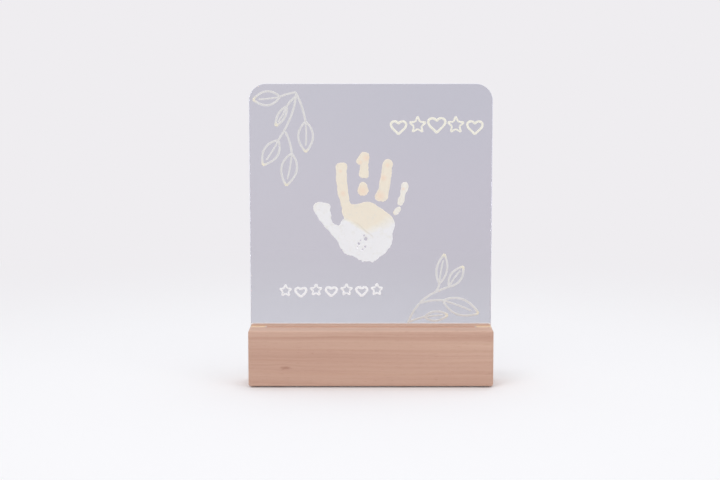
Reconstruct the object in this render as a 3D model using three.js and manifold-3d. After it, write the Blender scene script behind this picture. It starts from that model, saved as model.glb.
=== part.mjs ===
// A lit print frame: a clear acrylic panel that stands in a wooden base with a light, a battery bay,
// a power button and a charging socket. Millimetres, +Z up, the front towards -Y, and the origin on the
// surface that the frame stands on, under the middle of the base.

import * as THREE from 'three';
import { mergeVertices } from 'three/addons/utils/BufferGeometryUtils.js';
import Module from 'manifold-3d';

const wasm = await Module();
wasm.setup();

// Clearances
const FIT = 0.3; // between pieces that slide or drop into one another
const SEAT = 0.1; // between battery cells and what they press on
const CUT = 1; // how far a cutting solid runs past the face that it cuts

// Facets on round forms
const CURVE_STEPS = 5; // on each curve of a shape
const ROUND_SIDES = 16; // on a turned form
const BASE_EDGE_STEPS = 3;
const BASE_CORNER_STEPS = 2;
const SLOT_STEPS = 6;
const PANEL_CORNER_STEPS = 8;
const EAR_STEPS = 4;
const LEAD_HOLE_SIDES = 10;
const LED_WINDOW_SIDES = 12;
const WELL_STEPS = 9;
const FOOT_SIDES = 20;
const CELL_SIDES = 18;
const PORT_STEPS = 6;
const BUTTON_HOLE_STEPS = 12;
const DISH_STEPS = 14;
const BUTTON_SIDES = 24;
const LEAD_STEPS = 12;
const LEAD_SECTION_STEPS = 4;

// Wooden base
const BASE_WIDTH = 200;
const BASE_DEPTH = 40;
const BASE_HEIGHT = 46;
const BASE_CORNER = 2.4;
const BASE_EDGE = 1.6;
const DECK = 9; // wood left over the pocket
const SIDE_WALL = 5;
const END_WALL = 8;
const END_BLOCK = 6; // deeper wood at each end, for the cover's screws
const END_BLOCK_DROP = 11; // from the deck down to the end blocks
const POCKET_CORNER = 4;

// Panel
const PANEL_WIDTH = 198;
const PANEL_HEIGHT = 200;
const PANEL_THICKNESS = 5;
const PANEL_CORNER = 14;
const PANEL_EDGE = 0.4;
const TAB_DEPTH = 13;
const TAB_LEAD_IN = 1.2;
const PRINT_THICKNESS = 0.25;

// Handprint: patches of paint, in shares of half the palm's height. A patch is one or more rows of round
// spots, each given as [x, z, radius], and its sides touch one spot and the next.
const HAND_OFFSET_X = -3.2;
const HAND_ABOVE_BASE = 78.5; // from the base to the middle of the palm
const PALM_HALF_HEIGHT = 24;
const SPOT_FACET = 4; // along the edge of a spot
const PALM = [
  [[-0.56, 0.7, 0.23], [0.02, 0.58, 0.46], [0.44, 0.26, 0.47]],
  [[-0.62, 0.22, 0.3], [-0.56, -0.46, 0.31], [0.06, -0.68, 0.36], [0.3, -0.48, 0.38]],
  [[-0.02, 0.2, 0.66], [0.24, -0.18, 0.63], [0.44, 0.26, 0.47]],
];
const THUMB = [
  [[-0.66, -0.1, 0.28], [-1.04, 0.04, 0.16], [-1.3, 0.26, 0.13], [-1.42, 0.54, 0.17], [-1.6, 0.82, 0.2]],
  [[-1.4, 0.6, 0.14], [-1.41, 0.85, 0.17], [-1.6, 0.82, 0.2]],
];
const INDEX_FINGER = [
  [[-0.56, 0.7, 0.2], [-0.79, 1.32, 0.2], [-0.87, 1.8, 0.2], [-0.85, 2.24, 0.19]],
];
const LITTLE_TIP = [
  [[1.13, 1.02, 0.1], [1.17, 1.12, 0.12], [1.22, 1.3, 0.07], [1.27, 1.48, 0.12], [1.29, 1.6, 0.13]],
];
const PATCHES = {
  hand_print: [...PALM, ...THUMB, ...INDEX_FINGER],
  middle_print_tip: [[[-0.1, 2.02, 0.16], [-0.08, 2.55, 0.17], [-0.24, 2.4, 0.14]]],
  middle_print_base: [[[-0.14, 1.45, 0.19], [-0.13, 1.59, 0.14]]],
  ring_print: [[[0.5, 1.22, 0.19], [0.58, 1.5, 0.18], [0.65, 1.93, 0.17], [0.7, 2.32, 0.15]]],
  little_print_tip: LITTLE_TIP,
  little_print_base: [[[0.98, 0.68, 0.09], [1.08, 0.82, 0.08]]],
};

// Sprigs: pen lines from the point where a sprig's stems meet, in shares of the sprig's length. A stem bends
// from its first point towards its second to its third.
const PEN_LINE = 1.2;
const PEN_STEPS = 4;
const UPPER_SPRIG_INSET = 38.4; // from the panel's left edge to the point where the stems meet
const UPPER_SPRIG_DROP = 7; // from the panel's top
const LOWER_SPRIG_INSET = 68.6; // from the panel's right edge
const LOWER_SPRIG_RISE = 3.2; // from the base
const UPPER_SPRIG = {
  length: 76,
  stems: [
    [[0, 0], [-0.08, -0.01], [-0.18, -0.05]],
    [[0, 0], [-0.01, -0.25], [-0.2, -0.52]],
    [[-0.01, -0.05], [-0.06, -0.09], [-0.1, -0.15]],
    [[0, -0.01], [0.07, -0.14], [0.1, -0.32]],
    [[-0.12, -0.42], [-0.06, -0.52], [-0.05, -0.66]],
  ],
  leaves: [
    { base: [-0.17, -0.05], tip: [-0.46, -0.08], width: 0.16 },
    { base: [-0.1, -0.15], tip: [-0.22, -0.36], width: 0.09 },
    { base: [0.1, -0.31], tip: [0.1, -0.64], width: 0.16 },
    { base: [-0.19, -0.51], tip: [-0.36, -0.78], width: 0.16 },
    { base: [-0.05, -0.65], tip: [-0.11, -1], width: 0.17 },
  ],
};
const LOWER_SPRIG = {
  length: 60,
  stems: [
    [[0, 0], [0.06, 0.17], [0.16, 0.28]],
    [[0.16, 0.28], [0.28, 0.42], [0.59, 0.52]],
    [[0.38, 0.45], [0.42, 0.48], [0.43, 0.56]],
    [[0.16, 0.28], [0.33, 0.34], [0.52, 0.32]],
    [[0.01, 0.02], [0.12, 0.07], [0.25, 0.1]],
  ],
  leaves: [
    { base: [0.43, 0.55], tip: [0.5, 0.96], width: 0.17 },
    { base: [0.59, 0.52], tip: [0.76, 0.79], width: 0.16 },
    { base: [0.52, 0.32], tip: [0.97, 0.16], width: 0.21 },
    { base: [0.24, 0.1], tip: [0.55, 0.12], width: 0.13 },
  ],
};
const LEAF_BELLY = 0.45; // where a leaf is widest, along its length
const RIB_REACH = 0.8; // how far the midrib runs, along the leaf
const RIB_BEND = 0.04;

// Light
const LED_COUNT = 12;
const LED_SIZE = 5;
const LED_HEIGHT = 1.6;
const LED_WINDOW_RADIUS = 2;
const LED_WINDOW_DEPTH = 0.4;
const LED_GAP = 1.2; // from the lamps to the tab's lower edge
const BOARD_THICKNESS = 1.6;
const LED_BOARD_WIDTH = 8;
const CHANNEL_WALL = 1.5;
const CHANNEL_MARGIN = 0.6; // from the channel's ends to the pocket's
const CHANNEL_FLOOR = 1.6;
const EAR_WIDTH = 9;
const EAR_REACH = 7;
const EAR_THICKNESS = 2;
const EAR_INSET = 31.4; // from the channel's end to an ear
const LED_LEAD_RUN = 12; // from the control board's edge to the channel's holes for the leads

// Bottom cover and feet
const COVER_RIM = 3.2; // wood left round the cover
const COVER_THICKNESS = 3;
const COVER_INSET = 0.4;
const COVER_CORNER = 3;
const COVER_SCREW_SPREAD = 20;
const RIB_HEIGHT = 3;
const RIB_THICKNESS = 1.2;
const RIB_SPREAD = 16;
const FOOT_PROUD = 1; // how far the feet hold the wood off the surface
const FOOT_RADIUS = 5;
const FOOT_RECESS = 0.6;
const FOOT_EDGE = 0.5;
const FOOT_INSET = 24; // from the wood's end to a foot
const FOOT_SPREAD = 20;

// Battery bay, AAA cells
const CELL_DIAMETER = 10.5;
const CELL_LENGTH = 44.5;
const CELL_NIPPLE_RADIUS = 1.9;
const CELL_NIPPLE_HEIGHT = 0.8;
const CELL_CRIMP = 0.5;
const CELL_GAP = 0.6; // between the two rows
const CELLS_IN_ROW = 2;
const CRADLE_CLEARANCE = 0.4;
const WELL_WALL = 1.4;
const CONTACT_THICKNESS = 0.4;
const CONTACT_SIZE = 7.4;
const LUG_WIDTH = 3;
const LUG_HEIGHT = 3;
const SPRING_LENGTH = 6;
const SPRING_WIRE = 0.6;
const SPRING_TURNS = 4;
const SPRING_WIDE = 3;
const SPRING_NARROW = 1.9;
const SPRING_STEPS = 8; // in each turn
const SPRING_SIDES = 5;
const LID_THICKNESS = 2;
const LID_LEDGE = 1.5;
const LID_CORNER = 2.5;
const LID_BOSS_HEIGHT = 5;

// Control unit at the back
const BEZEL_WIDTH = 48;
const BEZEL_HEIGHT = 15;
const BEZEL_THICKNESS = 2.4;
const BEZEL_CORNER = 3;
const BEZEL_SCREW_INSET = 3.5;
const TRAY_WIDTH = 33;
const TRAY_THICKNESS = 1.4;
const TRAY_WALL = 1.2;
const TRAY_WALL_HEIGHT = 4;
const TRAY_LIFT = 1; // clear of the battery well below
const BOARD_DEPTH = 10.5;
const USB_WIDTH = 8.94;
const USB_HEIGHT = 3.26;
const USB_DEPTH = 7.35;
const USB_WALL = 0.3;
const USB_TONGUE_WIDTH = 6.7;
const USB_TONGUE_THICKNESS = 0.7;
const USB_TONGUE_SETBACK = 1;
const USB_PLACE = 9; // from the middle, to the socket on one side
const BUTTON_PLACE = 9; // and to the button on the other
const BUTTON_RADIUS = 3.8;
const BUTTON_CROWN = 0.3;
const BUTTON_TRAVEL = 1;
const BUTTON_FLANGE = 0.7; // thickness of the flange that keeps the button in
const BUTTON_LIP = 0.8; // how far the flange stands out
const BUTTON_STEM_RADIUS = 1.2;
const STEM_ENTRY = 1.5; // how far the button's stem reaches into the switch at rest
const DISH_RADIUS = 6;
const DISH_DEPTH = 1.2;
const SWITCH_WIDTH = 7;
const SWITCH_DEPTH = 5;
const SWITCH_HEIGHT = 3.3;

// Screws: shank radius, head radius, head height and length under the head
const SMALL_SCREW = { shank: 1, head: 1.9, cap: 1, length: 6 };
const COVER_SCREW = { shank: 1.3, head: 2.6, cap: 1.4, length: 9 };
const LID_SCREW = { shank: 1.1, head: 2.3, cap: 1, length: 5 };
const CHANNEL_SCREW = { shank: 1.1, head: 2.2, cap: 1.3, length: 7 };
const CROWN_SHARE = 0.8; // the head's flat top, as a share of its radius
const CROSS_SHARE = 1.1; // and the length and width of the cross in it
const BLADE_SHARE = 0.26;
const SCREW_SIDES = 12;

// Leads
const LEAD_DIAMETER = 1.2;
const LEAD_SPREAD = 2.2;
const LEAD_BEND = 1; // how far a lead leans away above its ends
const LEAD_RISE = 2; // above what a lead passes over

// Heights worked out from the sizes above
const baseBottom = FOOT_PROUD;
const baseTop = baseBottom + BASE_HEIGHT;
const deckUnderside = baseTop - DECK;
const coverBottom = baseBottom + COVER_INSET;
const coverTop = coverBottom + COVER_THICKNESS;
const lidTop = coverBottom + LID_THICKNESS;
const cellRadius = CELL_DIAMETER / 2;
const cellAxis = lidTop + CRADLE_CLEARANCE + cellRadius;
const cradleRadius = cellRadius + CRADLE_CLEARANCE;
const wellTop = cellAxis + cradleRadius + WELL_WALL;
const trayBottom = wellTop + TRAY_LIFT;
const boardBottom = trayBottom + TRAY_THICKNESS;
const boardTop = boardBottom + BOARD_THICKNESS;
const portHeight = boardTop + USB_HEIGHT / 2;
const tabEnd = baseTop - TAB_DEPTH;
const ledTop = tabEnd - LED_GAP;
const ledBoardTop = ledTop - LED_HEIGHT;
const ledBoardBottom = ledBoardTop - BOARD_THICKNESS;
const channelBottom = ledBoardBottom - CHANNEL_FLOOR;

// Plan sizes worked out from the sizes above
const rear = BASE_DEPTH / 2;
const pocketWidth = BASE_WIDTH - 2 * END_WALL;
const pocketDepth = BASE_DEPTH - 2 * SIDE_WALL;
const lowPocketWidth = pocketWidth - 2 * END_BLOCK;
const coverWidth = BASE_WIDTH - 2 * (COVER_RIM + FIT);
const coverDepth = BASE_DEPTH - 2 * (COVER_RIM + FIT);
const coverScrewPlace = (lowPocketWidth + coverWidth) / 4 - COVER_SCREW.head / 4;
const slotDepth = PANEL_THICKNESS + 2 * FIT;
const channelDepth = LED_BOARD_WIDTH + 2 * (FIT + CHANNEL_WALL);
const channelLength = pocketWidth - 2 * CHANNEL_MARGIN;
const channelInside = channelLength - 2 * CHANNEL_WALL;
const slotWidth = channelInside - 2 * FIT;
const tabWidth = slotWidth - slotDepth - 2 * FIT;
const earPlace = channelLength / 2 - EAR_INSET;
const footPlace = BASE_WIDTH / 2 - FOOT_INSET;
const cellPitch = CELL_DIAMETER + CELL_GAP;
const seatsInRow = CELLS_IN_ROW + 3;
const bayLength = CELLS_IN_ROW * CELL_LENGTH + SPRING_LENGTH + 2 * CONTACT_THICKNESS + seatsInRow * SEAT;
const bayDepth = cellPitch + 2 * cradleRadius;
const lugX = SEAT + (CONTACT_THICKNESS - bayLength) / 2;
const wellLength = bayLength + 2 * WELL_WALL;
const lidScrewPlace = wellLength / 2 + LID_SCREW.head + FIT;
const lidWidth = 2 * (lidScrewPlace + LID_SCREW.head + WELL_WALL);
const lidDepth = bayDepth + 2 * LID_LEDGE;
const bezelInner = rear - BEZEL_THICKNESS;
const boardRear = bezelInner - FIT;
const boardFront = boardRear - BOARD_DEPTH;
const boardWidth = TRAY_WIDTH - 2 * (TRAY_WALL + FIT);
const buttonFlangeRadius = BUTTON_RADIUS + BUTTON_LIP;
const flangeRoom = 2 * (buttonFlangeRadius + FIT);
const windowWidth = TRAY_WIDTH + 2 * FIT;
const windowHeight = 2 * Math.max(portHeight - trayBottom, buttonFlangeRadius) + 4 * FIT;
const flangeFront = bezelInner - FIT;
const buttonWell = flangeFront - BUTTON_FLANGE - BUTTON_TRAVEL - FIT;
const switchFront = buttonWell - FIT;
const ledLeadPlace = boardWidth / 2 + LED_LEAD_RUN;
const padLow = cellAxis - CONTACT_SIZE / 2;
const lugTop = wellTop + LUG_HEIGHT;

const ALONG_X = new THREE.Matrix4().makeBasis(
  new THREE.Vector3(0, 1, 0), new THREE.Vector3(0, 0, 1), new THREE.Vector3(1, 0, 0));
const ALONG_Y = new THREE.Matrix4().makeBasis(
  new THREE.Vector3(1, 0, 0), new THREE.Vector3(0, 0, 1), new THREE.Vector3(0, -1, 0));

function finish(color, roughness, metalness = 0, opacity = 1) {
  return new THREE.MeshStandardMaterial({
    color, roughness, metalness, opacity, transparent: opacity < 1,
  });
}

const BEECH = finish(0xc4a18e, 0.6);
const TINTED_ACRYLIC = finish(0xc5c4ce, 0.12, 0, 0.8);
const CREAM_PAINT = finish(0xece0c6, 0.5);
const PEN_PAINT = finish(0xdcd8c4, 0.5);
const WHITE_PLASTIC = finish(0xe9e8e4, 0.5);
const GREY_PLASTIC = finish(0x55575a, 0.55);
const BUTTON_PLASTIC = finish(0xd9d7d1, 0.35);
const BOARD_LACQUER = finish(0xe6e8e6, 0.4);
const CONTROL_LACQUER = finish(0x1f6b45, 0.4);
const LED_CASE = finish(0xf3ead0, 0.4);
const BLACK_PLASTIC = finish(0x17181a, 0.45);
const STEEL = finish(0xb9bbbe, 0.3, 1);
const SPRING_STEEL = finish(0xc9cbcd, 0.25, 1);
const CELL_SLEEVE = finish(0x3d6f8c, 0.35);
const SILICONE = finish(0xd4d6d8, 0.7);
const RED_LEAD = finish(0xb3302c, 0.5);
const BLACK_LEAD = finish(0x222224, 0.5);

// Solids

function solid(geometry) {
  const bare = geometry.clone();
  bare.deleteAttribute('normal');
  bare.deleteAttribute('uv');
  const merged = mergeVertices(bare, 1e-4);
  const corners = merged.index.array;
  const kept = [];
  for (let i = 0; i < corners.length; i += 3) {
    const [a, b, c] = corners.slice(i, i + 3);
    if (a !== b && b !== c && c !== a) {
      kept.push(a, b, c);
    }
  }
  return new wasm.Manifold(new wasm.Mesh({
    numProp: 3,
    vertProperties: Float32Array.from(merged.attributes.position.array),
    triVerts: Uint32Array.from(kept),
  }));
}

function geometryOf(form) {
  const mesh = form.getMesh();
  const geometry = new THREE.BufferGeometry();
  geometry.setAttribute('position', new THREE.BufferAttribute(mesh.vertProperties, 3));
  geometry.setIndex(new THREE.BufferAttribute(mesh.triVerts, 1));
  geometry.computeVertexNormals();
  return geometry;
}

function joined(forms) {
  return forms.reduce((sum, form) => sum.add(form));
}

function roundedRect(width, height, radius) {
  const x = width / 2;
  const y = height / 2;
  const r = Math.min(radius, x, y);
  const shape = new THREE.Shape();
  shape.moveTo(-x + r, -y);
  shape.lineTo(x - r, -y);
  shape.absarc(x - r, -y + r, r, -Math.PI / 2, 0);
  shape.lineTo(x, y - r);
  shape.absarc(x - r, y - r, r, 0, Math.PI / 2);
  shape.lineTo(-x + r, y);
  shape.absarc(-x + r, y - r, r, Math.PI / 2, Math.PI);
  shape.lineTo(-x, -y + r);
  shape.absarc(-x + r, -y + r, r, Math.PI, 1.5 * Math.PI);
  return shape;
}

function circle(radius) {
  const shape = new THREE.Shape();
  shape.absarc(0, 0, radius, 0, 2 * Math.PI);
  return shape;
}

function extruded(shape, depth, curveSegments = CURVE_STEPS) {
  return new THREE.ExtrudeGeometry(shape, { depth, bevelEnabled: false, curveSegments });
}

// A shape drawn in plan, from one height to another
function upright(shape, low, high, curveSegments) {
  return extruded(shape, high - low, curveSegments).translate(0, 0, low);
}

// A shape drawn as seen from the front, from one depth to another
function frontal(shape, front, back, curveSegments) {
  return extruded(shape, back - front, curveSegments).applyMatrix4(ALONG_Y).translate(0, back, 0);
}

// A shape drawn as seen from the right, from one side to another
function sideways(shape, left, right, curveSegments) {
  return extruded(shape, right - left, curveSegments).applyMatrix4(ALONG_X).translate(left, 0, 0);
}

function box(width, depth, low, high) {
  return new THREE.BoxGeometry(width, depth, high - low).translate(0, 0, (low + high) / 2);
}

// A profile of [radius, height] points turned about the upright axis
function turned(profile, segments = ROUND_SIDES) {
  const points = profile.map(([radius, height]) => new THREE.Vector2(radius, height));
  return new THREE.LatheGeometry(points, segments).rotateX(Math.PI / 2);
}

// A round bar along the upright axis
function bar(radius, low, high, segments = ROUND_SIDES) {
  return turned([[0, low], [radius, low], [radius, high], [0, high]], segments);
}

// A screw pointing up, with the underside of its head at height 0 and a cross recess
function screwSolid({ shank, head, cap, length }) {
  const crown = head * CROWN_SHARE;
  const body = solid(turned([
    [0, -cap], [crown, -cap], [head, -cap / 2], [head, 0], [shank, 0],
    [shank, length - shank], [shank / 2, length], [0, length],
  ], SCREW_SIDES));
  const arm = head * CROSS_SHARE;
  const blade = head * BLADE_SHARE;
  const cross = joined([
    solid(box(arm, blade, -cap - CUT, -cap / 2)),
    solid(box(blade, arm, -cap - CUT, -cap / 2)),
  ]);
  return body.subtract(cross);
}

function screwHole({ shank }, low, high) {
  return solid(bar(shank + FIT, low, high, SCREW_SIDES));
}

function screwRecess({ head }, low, high) {
  return solid(bar(head + FIT, low, high, SCREW_SIDES));
}

function spots(xs, ys) {
  return xs.flatMap((x) => ys.map((y) => [x, y]));
}

function pair(place) {
  return [-place, place];
}

const coverScrewSpots = spots(pair(coverScrewPlace), pair(COVER_SCREW_SPREAD / 2));
const footSpots = spots(pair(footPlace), pair(FOOT_SPREAD / 2));
const lidScrewSpots = spots(pair(lidScrewPlace), [0]);
const bezelScrewSpots = pair(BEZEL_WIDTH / 2 - BEZEL_SCREW_INSET);
const earSpots = [[-earPlace, 1], [earPlace, -1]];
const earScrewReach = channelDepth / 2 + EAR_REACH / 2;

// Wooden base: one block, routed from above and below and at the back

function woodBase() {
  const inset = 2 * BASE_EDGE;
  const outline = roundedRect(BASE_WIDTH - inset, BASE_DEPTH - inset, BASE_CORNER - BASE_EDGE);
  const block = new THREE.ExtrudeGeometry(outline, {
    depth: BASE_HEIGHT - inset,
    bevelThickness: BASE_EDGE,
    bevelSize: BASE_EDGE,
    bevelSegments: BASE_EDGE_STEPS,
    curveSegments: BASE_CORNER_STEPS,
  }).translate(0, 0, baseBottom + BASE_EDGE);
  const endBlockTop = deckUnderside - END_BLOCK_DROP;
  const slot = roundedRect(slotWidth, slotDepth, slotDepth / 2);
  const pocket = roundedRect(pocketWidth, pocketDepth, POCKET_CORNER);
  const lowPocket = roundedRect(lowPocketWidth, pocketDepth, POCKET_CORNER);
  const coverSeat = roundedRect(coverWidth + 2 * FIT, coverDepth + 2 * FIT, COVER_CORNER + FIT);
  const bezelSeat = roundedRect(BEZEL_WIDTH + 2 * FIT, BEZEL_HEIGHT + 2 * FIT, BEZEL_CORNER + FIT);
  const window = new THREE.BoxGeometry(windowWidth, SIDE_WALL + CUT, windowHeight);
  const cuts = [
    solid(upright(slot, deckUnderside - CUT, baseTop + CUT, SLOT_STEPS)),
    solid(upright(pocket, endBlockTop, deckUnderside)),
    solid(upright(lowPocket, coverTop - CUT, endBlockTop + CUT)),
    solid(upright(coverSeat, baseBottom - CUT, coverTop)),
    solid(frontal(bezelSeat, bezelInner, rear + CUT).translate(0, 0, portHeight)),
    solid(window.translate(0, bezelInner - (SIDE_WALL - CUT) / 2, portHeight)),
  ];
  for (const [x, y] of coverScrewSpots) {
    cuts.push(screwHole(COVER_SCREW, coverTop - CUT, coverTop + COVER_SCREW.length).translate(x, y, 0));
  }
  for (const [x, side] of earSpots) {
    const pilot = screwHole(CHANNEL_SCREW, deckUnderside - CUT, deckUnderside + CHANNEL_SCREW.length);
    cuts.push(pilot.translate(x, side * earScrewReach, 0));
  }
  for (const x of bezelScrewSpots) {
    const pilot = screwHole(SMALL_SCREW, 0, SIDE_WALL + CUT).rotate(90, 0, 0);
    cuts.push(pilot.translate(x, bezelInner + CUT, portHeight));
  }
  return cuts.reduce((wood, cut) => wood.subtract(cut), solid(block));
}

// Panel: one laser-cut sheet with two shoulders that rest on the base

function panelOutline(inset) {
  const half = PANEL_WIDTH / 2 - inset;
  const top = baseTop + PANEL_HEIGHT - inset;
  const foot = baseTop + inset;
  const tab = tabWidth / 2 - inset;
  const end = tabEnd + inset;
  const r = PANEL_CORNER - inset;
  const outline = new THREE.Shape();
  outline.moveTo(-tab + TAB_LEAD_IN, end);
  outline.lineTo(tab - TAB_LEAD_IN, end);
  outline.lineTo(tab, end + TAB_LEAD_IN);
  outline.lineTo(tab, foot);
  outline.lineTo(half, foot);
  outline.lineTo(half, top - r);
  outline.absarc(half - r, top - r, r, 0, Math.PI / 2);
  outline.lineTo(-half + r, top);
  outline.absarc(-half + r, top - r, r, Math.PI / 2, Math.PI);
  outline.lineTo(-half, foot);
  outline.lineTo(-tab, foot);
  outline.lineTo(-tab, end + TAB_LEAD_IN);
  return outline;
}

function acrylicPanel() {
  return new THREE.ExtrudeGeometry(panelOutline(PANEL_EDGE), {
    depth: PANEL_THICKNESS - 2 * PANEL_EDGE,
    bevelThickness: PANEL_EDGE,
    bevelSize: PANEL_EDGE,
    bevelSegments: 1,
    curveSegments: PANEL_CORNER_STEPS,
  }).applyMatrix4(ALONG_Y).translate(0, PANEL_THICKNESS / 2 - PANEL_EDGE, 0);
}

// Painted handprint and leaf sprigs, on the panel's front face

function paint(shape, steps) {
  return solid(frontal(shape, -PANEL_THICKNESS / 2 - PRINT_THICKNESS, -PANEL_THICKNESS / 2, steps));
}

function spotEdge([x, z, radius], from, to) {
  const steps = Math.max(3, Math.round((radius * (to - from)) / SPOT_FACET));
  return Array.from({ length: steps + 1 }, (_, i) => {
    const turn = from + ((to - from) * i) / steps;
    return new THREE.Vector2(x + radius * Math.cos(turn), z + radius * Math.sin(turn));
  });
}

// Round two spots: part of each one's edge, and the two straight sides that touch both
function spotPair(first, second) {
  const run = new THREE.Vector2(second[0] - first[0], second[1] - first[1]);
  const reach = Math.acos((first[2] - second[2]) / run.length());
  const left = run.angle() + reach;
  const right = run.angle() - reach;
  return new THREE.Shape([...spotEdge(second, right, left), ...spotEdge(first, left, right + 2 * Math.PI)]);
}

function paintPatch(rows) {
  const forms = rows.flatMap((row) => {
    const sized = row.map((spot) => spot.map((share) => share * PALM_HALF_HEIGHT));
    return sized.slice(1).map((spot, i) => paint(spotPair(sized[i], spot)));
  });
  return joined(forms).translate(HAND_OFFSET_X, 0, baseTop + HAND_ABOVE_BASE);
}

// A line along a curve, with pointed ends half a line long
function penLine(points) {
  const curve = new THREE.QuadraticBezierCurve(...points);
  const half = PEN_LINE / 2;
  const left = [curve.getPoint(0).addScaledVector(curve.getTangent(0), -half)];
  const right = [curve.getPoint(1).addScaledVector(curve.getTangent(1), half)];
  for (let i = 0; i <= PEN_STEPS; i += 1) {
    const point = curve.getPoint(i / PEN_STEPS);
    const ahead = curve.getTangent(i / PEN_STEPS);
    const across = new THREE.Vector2(-ahead.y, ahead.x).multiplyScalar(half);
    left.push(point.clone().sub(across));
    right.splice(1, 0, point.clone().add(across));
  }
  return new THREE.Shape([...left, ...right]);
}

// A leaf along +X. Its outline runs anticlockwise with side 1 and clockwise, as a hole must, with side -1.
function leafLoop(length, width, inset, side) {
  const path = new THREE.Shape();
  const bulge = side * (width - 2 * inset);
  path.moveTo(2 * inset, 0);
  path.quadraticCurveTo(length * LEAF_BELLY, -bulge, length - 2 * inset, 0);
  path.quadraticCurveTo(length * LEAF_BELLY, bulge, 2 * inset, 0);
  return path;
}

function leafSolid(length, width) {
  const loop = leafLoop(length, width, 0, 1);
  loop.holes.push(leafLoop(length, width, PEN_LINE, -1));
  const rib = penLine([
    new THREE.Vector2(0, 0), new THREE.Vector2(length * LEAF_BELLY, length * RIB_BEND),
    new THREE.Vector2(length * RIB_REACH, 0),
  ]);
  return paint(loop, PEN_STEPS).add(paint(rib));
}

function sprigSolid({ length, stems, leaves }, x, z) {
  const sized = ([across, up]) => new THREE.Vector2(across * length, up * length);
  const lines = stems.map((stem) => paint(penLine(stem.map(sized))));
  const leafForms = leaves.map(({ base, tip, width }) => {
    const start = sized(base);
    const run = sized(tip).sub(start);
    const tilt = THREE.MathUtils.radToDeg(run.angle());
    return leafSolid(run.length(), width * length).rotate(0, -tilt, 0).translate(start.x, 0, start.y);
  });
  return joined([...lines, ...leafForms]).translate(x, 0, z);
}

// Light: a channel under the slot, a board on its floor and a row of lamps

function lightChannel() {
  let channel = solid(box(channelLength, channelDepth, channelBottom, deckUnderside));
  const inside = box(channelInside, LED_BOARD_WIDTH + 2 * FIT, ledBoardBottom, deckUnderside + CUT);
  channel = channel.subtract(solid(inside));
  for (const [x, side] of earSpots) {
    const ear = roundedRect(EAR_WIDTH, 2 * EAR_REACH, EAR_WIDTH / 3);
    const plate = solid(upright(ear, deckUnderside - EAR_THICKNESS, deckUnderside, EAR_STEPS));
    const hole = screwHole(CHANNEL_SCREW, deckUnderside - EAR_THICKNESS - CUT, deckUnderside + CUT);
    const half = plate.subtract(solid(box(2 * EAR_WIDTH, 2 * EAR_REACH, 0, baseTop)
      .translate(0, -side * (EAR_REACH + FIT), 0)));
    channel = channel.add(half.translate(x, side * (channelDepth / 2 - FIT), 0));
    channel = channel.subtract(hole.translate(x, side * earScrewReach, 0));
  }
  for (const side of [-1, 1]) {
    const hole = bar(LEAD_DIAMETER / 2 + FIT, channelBottom - CUT, ledBoardBottom + CUT, LEAD_HOLE_SIDES);
    channel = channel.subtract(solid(hole.translate(ledLeadPlace, (side * LEAD_SPREAD) / 2, 0)));
  }
  return channel;
}

function ledSolid() {
  const body = solid(box(LED_SIZE, LED_SIZE, ledBoardTop, ledTop));
  const window = bar(LED_WINDOW_RADIUS, ledTop - LED_WINDOW_DEPTH, ledTop + CUT, LED_WINDOW_SIDES);
  return body.subtract(solid(window));
}

// Bottom cover: a moulded plate with a scalloped battery well, ribs, bosses and recesses

function wellOutline(radius, low) {
  const half = cellPitch / 2;
  const valley = Math.acos(Math.min(1, half / radius));
  const outline = new THREE.Shape();
  outline.moveTo(-half - radius, low);
  outline.lineTo(half + radius, low);
  outline.lineTo(half + radius, cellAxis);
  outline.absarc(half, cellAxis, radius, 0, Math.PI - valley);
  outline.absarc(-half, cellAxis, radius, valley, Math.PI);
  return outline;
}

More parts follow.
